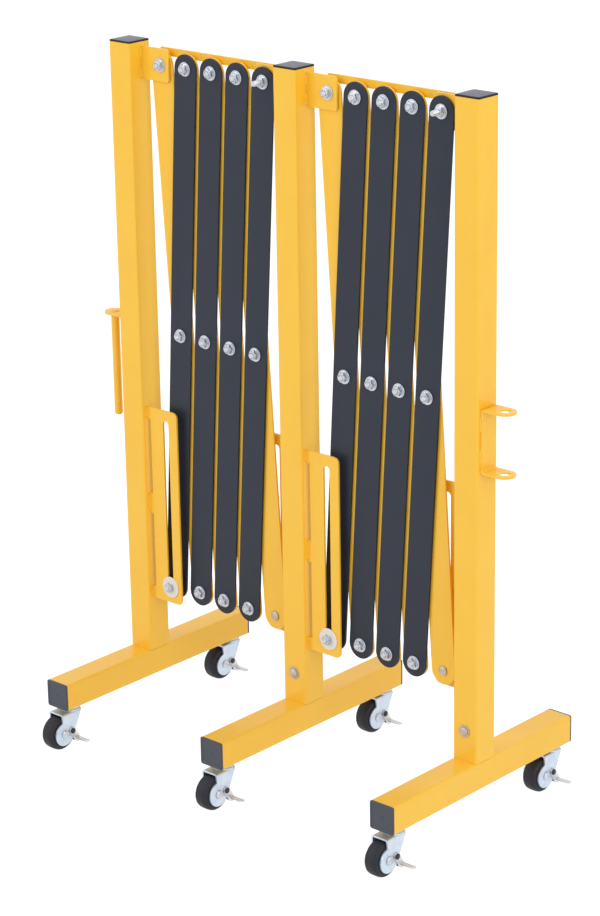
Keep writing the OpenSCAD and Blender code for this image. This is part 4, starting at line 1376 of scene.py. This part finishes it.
@dataclass
class Caster:
    """A swivel caster with its fork, its wheel and its brake lever."""

    tag: str
    wheel_r: float = 25.0
    wheel_w: float = 21.0
    rim_r: float = 17.0
    fork_t: float = 2.5
    fork_gap: float = 1.0
    lobe_r: float = 17.5
    crown_gap: float = 3.2
    crown_front: float = 4.0
    crown_rear: float = 10.0
    bend: float = 2.4
    race_h: float = 1.8
    race_d: float = 30.0
    axle_d: float = 8.0
    axle_head_d: float = 13.0
    axle_head_h: float = 3.5
    axle_end: float = 3.5
    rivet_d: float = 5.0
    rivet_head_d: float = 8.5
    rivet_head_h: float = 1.5
    lever_gap: float = 0.3
    lever_t: float = 2.0
    boss_r: float = 5.3
    shoe_angle: float = 30.0
    shoe_w: float = 9.0
    tread_r: float = 4.0
    pedal_w: float = 7.0
    pedal_len: float = 24.0
    pedal_back: float = 2.8
    pedal_root: float = 0.8

    def __post_init__(self) -> None:
        """Takes the places of the swivel, the axle and the brake rivet from the frame."""
        self.axis = spot(f"caster_{self.tag}_swivel")
        self.axle = spot(f"wheel_{self.tag}_spin")
        self.pin = spot(f"brake_{self.tag}_lift")
        self.leg_in = self.wheel_w / 2 + self.fork_gap
        self.leg_out = self.leg_in + self.fork_t
        self.crown_z = 2 * self.wheel_r + self.crown_gap
        self.trail = self.axis.y - self.axle.y
        radius, turn = self.wheel_r + self.lever_gap + self.lever_t / 2, math.radians(self.shoe_angle)
        self.shoe = (self.axle.y + radius * math.cos(turn) - self.pin.y,
                     self.axle.z - radius * math.sin(turn) - self.pin.z)

    def build(self) -> None:
        """Builds every piece of the caster."""
        self.fork()
        self.axle_bolt()
        self.wheel()
        self.brake()

    def reach(self, z: float) -> Point:
        """Gives the front and rear reach of the fork, from the swivel axis, at a height.

        Args:
            z: Height above the floor.

        Returns:
            The lowest and highest y of a fork leg at that height.
        """
        top = self.crown_z + self.fork_t
        round_half = math.sqrt(max(0.25, self.lobe_r ** 2 - (z - self.wheel_r) ** 2))
        ahead = max(self.crown_front, round_half) if z >= self.wheel_r else round_half
        c = (-self.trail, self.wheel_r)
        span = math.dist((self.crown_rear, top), c)
        towards = math.atan2(top - c[1], self.crown_rear - c[0])
        a = towards - math.acos(self.lobe_r / span)
        touch = (c[0] + self.lobe_r * math.cos(a), c[1] + self.lobe_r * math.sin(a))
        behind = c[0] + round_half
        if z >= touch[1]:
            behind = touch[0] + (self.crown_rear - touch[0]) * (z - touch[1]) / (top - touch[1])
        return c[0] - ahead, behind

    def leg_heights(self) -> list[float]:
        """Gives the heights at which the outline of a fork leg has its points.

        Returns:
            The heights above the floor, from the lowest up.
        """
        step = math.degrees(math.acos(self.crown_front / self.lobe_r))
        angles = [-87.0] + [6.0 * k for k in range(-14, 13)] + [step - 0.4, step]
        heights = [self.wheel_r + self.lobe_r * math.sin(math.radians(a)) for a in angles]
        return sorted(heights + [heights[-1] + 2.9 * k for k in range(1, 4)])

    def fork(self) -> None:
        """Builds the pressed fork with its bearing race, its ring and the rivet of the brake."""
        shape = Shape()
        middle = self.leg_in + self.fork_t / 2
        crown = self.crown_z + self.fork_t / 2
        bend = self.bend
        heights = [h for h in self.leg_heights() if h < crown - bend - 0.5]
        left = [(-middle, z) for z in heights] + arc((bend - middle, crown - bend), bend, 180.0, 90.0, 5)
        right = arc((middle - bend, crown - bend), bend, 90.0, 0.0, 5)
        right += [(middle, z) for z in reversed(heights)]
        stations = [(p, *self.reach(p[1] + (self.fork_t / 2 if abs(p[0]) < middle - 0.1 else 0.0)))
                    for p in left + right]
        shape.sheet(stations, self.fork_t, Facing.UP.at(self.axis.x, self.axis.y, 0.0))
        node, body = [f"fork_{self.tag}"], f"caster_{self.tag}"
        shape.piece(f"fork_plate_{self.tag}", FORK_ZINC, body, node, rim=0.5)
        self.fork_fittings(node, body)
        self.brake_rivet(node, body)

    def fork_fittings(self, node: list[str], body: str) -> None:
        """Builds the lower race on the crown and the pressed ring on the leg away from the brake.

        Args:
            node: Solid of the frame that they stand for.
            body: Body that they move with.
        """
        shape = Shape()
        race = self.race_d / 2
        shape.turned([(race - 0.4, self.fork_t - 1.0), (race, self.fork_t - 0.4), (race, self.fork_t + 0.9),
                      (race - 0.9, self.fork_t + self.race_h), (race - 3.0, self.fork_t + self.race_h)],
                     Facing.UP.at(self.axis.x, self.axis.y, self.crown_z))
        ring = [(8.6, -0.4), (13.6, -0.4), (13.2, 0.25), (12.4, 0.6), (11.4, 0.7), (10.4, 0.6), (9.6, 0.2)]
        place = Facing.LEFT.at(self.axis.x - self.leg_out, self.axle.y, self.axle.z)
        shape.turned(ring, place, 48, wrap=True)
        shape.piece(f"fork_fittings_{self.tag}", FORK_ZINC, body, node)

    def brake_rivet(self, node: list[str], body: str) -> None:
        """Builds the rivet that the brake lever turns on.

        Args:
            node: Solid of the frame that it stands for.
            body: Body that it moves with.
        """
        shape = Shape()
        r, seat = self.rivet_head_d / 2, self.lever_t + 2 * self.lever_gap
        end = seat + self.rivet_head_h
        shape.turned([(self.rivet_d / 2, -0.5), (self.rivet_d / 2, seat), (r - 0.2, seat), (r, seat + 0.25),
                      (r, seat + 0.7), (r - 0.5, end - 0.35), (r - 1.4, end - 0.05), (r - 2.2, end)],
                     Facing.RIGHT.at(self.axis.x + self.leg_out, self.pin.y, self.pin.z), 28)
        # The rivet's near-black colour is painted shade.
        shape.piece(f"brake_rivet_{self.tag}", SHADE_DARK_STEEL, body, node)

    def axle_bolt(self) -> None:
        """Builds the axle with its low head, its nut and its end, which is darkened as painted shade."""
        node, body = [f"fork_{self.tag}"], f"caster_{self.tag}"
        x, y, z = self.axle.x, self.axle.y, self.axle.z
        shape = Shape()
        BOLTS.dome(shape, Facing.RIGHT.at(x + self.leg_out, y, z), self.axle_head_d, self.axle_head_h)
        shape.hexagon(BOLTS.nut_af, BOLTS.nut_h, Facing.LEFT.at(x - self.leg_out, y, z, 12.0))
        shape.piece(f"axle_nut_{self.tag}", BRIGHT_ZINC, body, node)
        shape = Shape()
        r, end = self.axle_d / 2, self.leg_out + BOLTS.nut_h + self.axle_end
        rod = [(r, -self.leg_out), (r, end - 0.8), (r - 0.8, end), (r - 1.6, end), (r - 1.8, end - 1.6)]
        shape.turned(rod, Facing.LEFT.at(x, y, z), 28)
        # The axle's near-black colour is painted shade.
        shape.piece(f"axle_{self.tag}", SHADE_DARK_STEEL, body, node)

    def wheel(self) -> None:
        """Builds the tyre and the hub."""
        place = Facing.RIGHT.at(self.axle.x, self.axle.y, self.axle.z)
        w, r = self.wheel_w / 2, self.wheel_r
        shape = Shape()
        side = [(self.rim_r, w - 0.5), (self.rim_r + 0.6, w), (r - 4.2, w), (r - 3.0, w - 0.35),
                (r - 1.7, w - 1.2), (r - 0.8, w - 2.4), (r - 0.35, w - 3.9), (r - 0.25, w - 4.5),
                (r - 0.55, w - 4.8), (r - 0.25, w - 5.1), (r, w - 7.0)]
        profile = [(a, -b) for a, b in side] + [(a, b) for a, b in reversed(side)]
        shape.turned(profile, place, 72, wrap=True)
        node, body = [f"wheel_{self.tag}"], f"roller_{self.tag}"
        shape.piece(f"tyre_{self.tag}", TYRE_RUBBER, body, node)
        shape = Shape()
        bore = self.axle_d / 2 + HOLE_GAP
        rim = self.rim_r
        half = [(bore, w), (7.6, w), (8.0, w - 0.4), (8.2, w - 1.5), (10.0, w - 2.4), (rim - 1.6, w - 2.4),
                (rim - 0.8, w - 1.4), (rim - 0.5, w - 0.5), (rim, w - 0.5)]
        shape.turned([(a, -b) for a, b in half] + [(a, b) for a, b in reversed(half)], place, 48, wrap=True)
        shape.piece(f"hub_{self.tag}", HUB_PLASTIC, body, node)

    def brake(self) -> None:
        """Builds the brake lever with its shoe and its pedal."""
        shape = Shape()
        self.lever(shape)
        self.brake_shoe(shape)
        self.pedal(shape)
        shape.piece(f"brake_lever_{self.tag}", LEVER_STEEL, f"pedal_{self.tag}",
                    [f"brake_{self.tag}"], rim=0.3)

    def lever(self, shape: Shape) -> None:
        """Adds the flat of the lever, from the rivet down to the shoe.

        Args:
            shape: Shape that it is added to.
        """
        sy, sz = self.shoe
        length, low_r = math.hypot(sy, sz), math.hypot(self.shoe_w, self.lever_t) / 2 + self.lever_gap
        along = math.degrees(math.atan2(sz, sy))
        lean = math.degrees(math.acos((self.boss_r - low_r) / length))
        flat = arc((0.0, 0.0), self.boss_r, along + lean, along - lean + 360.0, 20)
        flat += arc((sy, sz), low_r, along - lean, along + lean, 16)
        place = Facing.RIGHT.at(self.pin.x - self.lever_t / 2, self.pin.y, self.pin.z)
        hole = circle((0.0, 0.0), self.rivet_d / 2 + HOLE_GAP)
        shape.plate([(-z, y) for y, z in flat], self.lever_t, place, [hole])

    def brake_shoe(self, shape: Shape) -> None:
        """Adds the shoe, which reaches from the lever across the tread.

        Args:
            shape: Shape that it is added to.
        """
        sy, sz = self.shoe
        a = math.radians(-self.shoe_angle)
        box = round_box(self.lever_t, self.shoe_w, 0.7, 3)
        outline = [(-(sz + u * math.sin(a) + v * math.cos(a)), sy + u * math.cos(a) - v * math.sin(a))
                   for u, v in box]
        inner = self.wheel_w / 2 - self.tread_r
        shape.stacked([(outline, 0.0), (outline, inner + self.pin.x - self.axle.x)],
                      Facing.RIGHT.at(self.axle.x - inner, self.pin.y, self.pin.z))

    def pedal(self, shape: Shape) -> None:
        """Adds the pedal, a tail with a round end that stands out to the side and rises a little.

        Args:
            shape: Shape that it is added to.
        """
        sy, sz = self.shoe
        share, half = 1.0 - self.pedal_back / math.hypot(sy, sz), self.pedal_w / 2
        stations = []
        for k in range(25):
            s = self.pedal_len * k / 24
            tip = s - self.pedal_len + half
            wide = half if tip < 0 else math.sqrt(max(0.3, half ** 2 - tip ** 2))
            rise = 0.9 * max(0.0, s / self.pedal_len - 0.6) ** 2 / 0.16
            stations.append(((s if k else s - self.pedal_root, rise), -wide, wide))
        start = self.pin.x - self.lever_t / 2 + self.lever_t
        place = Facing.UP.at(start, self.pin.y + sy * share, self.pin.z + sz * share)
        shape.sheet(stations, self.lever_t, place)


@dataclass(frozen=True)
class Softbox:
    """Square soft light that points at the middle of the gate. Lengths in metres, power in watts."""

    name: str
    place: tuple[float, float, float]
    size: float
    power: float

    def build(self) -> None:
        """Builds the light."""
        data = bpy.data.lights.new(self.name, "AREA")
        data.size = self.size
        data.energy = self.power
        thing = bpy.data.objects.new(self.name, data)
        thing.location = self.place
        aim = Vector((0.0, 0.0, 0.5)) - Vector(self.place)
        thing.rotation_euler = aim.to_track_quat("-Z", "Y").to_euler()
        bpy.context.scene.collection.objects.link(thing)


@dataclass
class Studio:
    """Floor, light, background and camera."""

    azimuth: float = 42.41
    elevation: float = 18.91
    roll: float = -0.98
    distance: float = 3.8478
    target_x: float = 0.01081
    target_z: float = 0.46530
    lens: float = 110.51
    ambient: float = 0.62
    floor_half: float = 14000.0
    floor_t: float = 20.0
    floor_grey: float = 0.90
    floor_glow: float = 1.32
    floor_glow_share: float = 0.72
    softboxes: tuple[Softbox, ...] = (
        Softbox("key softbox", (-1.9, -3.2, 2.7), 2.4, 44.0),
        Softbox("side softbox", (3.2, -0.9, 1.9), 2.2, 33.0),
        Softbox("top softbox", (0.2, 0.6, 3.4), 3.0, 22.0),
    )

    def build(self) -> None:
        """Builds the whole studio."""
        self.floor()
        self.background()
        for softbox in self.softboxes:
            softbox.build()
        self.camera()
        bpy.context.scene.view_settings.view_transform = "Standard"

    def floor(self) -> None:
        """Builds the pale floor, which shows the camera white where no shadow falls."""
        shape, half = Shape(), self.floor_half
        ring = [(-half, -half), (half, -half), (half, half), (-half, half)]
        shape.stacked([(ring, -self.floor_t), (ring, 0.0)], Facing.UP.at(0.0, 0.0, 0.0))
        shape.mesh.transform(Matrix.Scale(MM, 4))
        floor = shape.raw_object("studio_floor")
        shape.mesh.free()
        made = bpy.data.materials.new("pale floor")
        made.use_nodes = True
        bench = NodeBench(made.node_tree)
        lit = bench.add("BsdfDiffuse", {"Color": (*[self.floor_grey] * 3, 1.0)})
        glow = bench.add("Emission", {"Color": (1.0, 1.0, 1.0, 1.0), "Strength": self.floor_glow})
        seen = bench.maths("MINIMUM", self.sight(bench), 1.0)
        share = bench.maths("MULTIPLY", seen, self.floor_glow_share)
        mix = bench.add("MixShader", {0: share, 1: lit.outputs[0], 2: glow.outputs[0]})
        bench.add("OutputMaterial", {"Surface": mix.outputs[0]})
        floor.data.materials.append(made)

    def sight(self, bench: NodeBench) -> bpy.types.NodeSocket:
        """Adds the test for rays that show a surface itself, and not the light it gives.

        Args:
            bench: Bench that the nodes are added to.

        Returns:
            The number of such kinds that a ray is, 0 for a ray of light.
        """
        rays = bench.add("LightPath")
        seen = bench.maths("ADD", rays.outputs["Is Camera Ray"], rays.outputs["Is Glossy Ray"])
        return bench.maths("ADD", seen, rays.outputs["Is Transmission Ray"])

    def background(self) -> None:
        """Makes the background white to the camera, and soft light to everything else."""
        world = bpy.data.worlds.new("studio")
        bpy.context.scene.world = world
        world.use_nodes = True
        bench = NodeBench(world.node_tree)
        strength = bench.spread(self.sight(bench), 0.0, 1.0, self.ambient, 1.0)
        sky = bench.add("Background", {"Color": (1.0, 1.0, 1.0, 1.0), "Strength": strength})
        bench.add("OutputWorld", {"Surface": sky.outputs[0]})

    def camera(self) -> None:
        """Places the camera at the photograph's angle."""
        a, e = math.radians(self.azimuth), math.radians(self.elevation)
        back = Vector((math.sin(a) * math.cos(e), -math.cos(a) * math.cos(e), math.sin(e)))
        right = Vector((math.cos(a), math.sin(a), 0.0))
        up = back.cross(right)
        tilt = math.radians(self.roll)
        across = right * math.cos(tilt) + up * math.sin(tilt)
        above = up * math.cos(tilt) - right * math.sin(tilt)
        data = bpy.data.cameras.new("camera")
        data.lens = self.lens
        data.sensor_width = 36.0
        data.sensor_fit = "AUTO"
        data.clip_end = 100.0
        thing = bpy.data.objects.new("camera", data)
        turn = Matrix((across, above, back)).transposed().to_4x4()
        spot_at = Vector((self.target_x, 0.0, self.target_z)) + back * self.distance
        thing.matrix_world = Matrix.Translation(spot_at) @ turn
        bpy.context.scene.collection.objects.link(thing)
        bpy.context.scene.camera = thing


def main() -> None:
    """Builds the gate, piece by piece, and its studio."""
    logging.basicConfig(level=logging.INFO, format="%(message)s")
    PostFrame("left", starts="left_post_top", bolt_facing=Facing.REAR).build()
    PostFrame("mid", starts="expand_right", ends="expand_left").build()
    PostFrame("right", ends="right_post_top").build()
    Lattice("left", "left_post_top", "expand_left", "hold_bar_left").build()
    Lattice("right", "expand_right", "right_post_top", "hold_bar_right").build()
    for tag in ("lf", "lr", "mf", "mr", "rf", "rr"):
        Caster(tag).build()
    Studio().build()


if __name__ == "__main__":
    main()
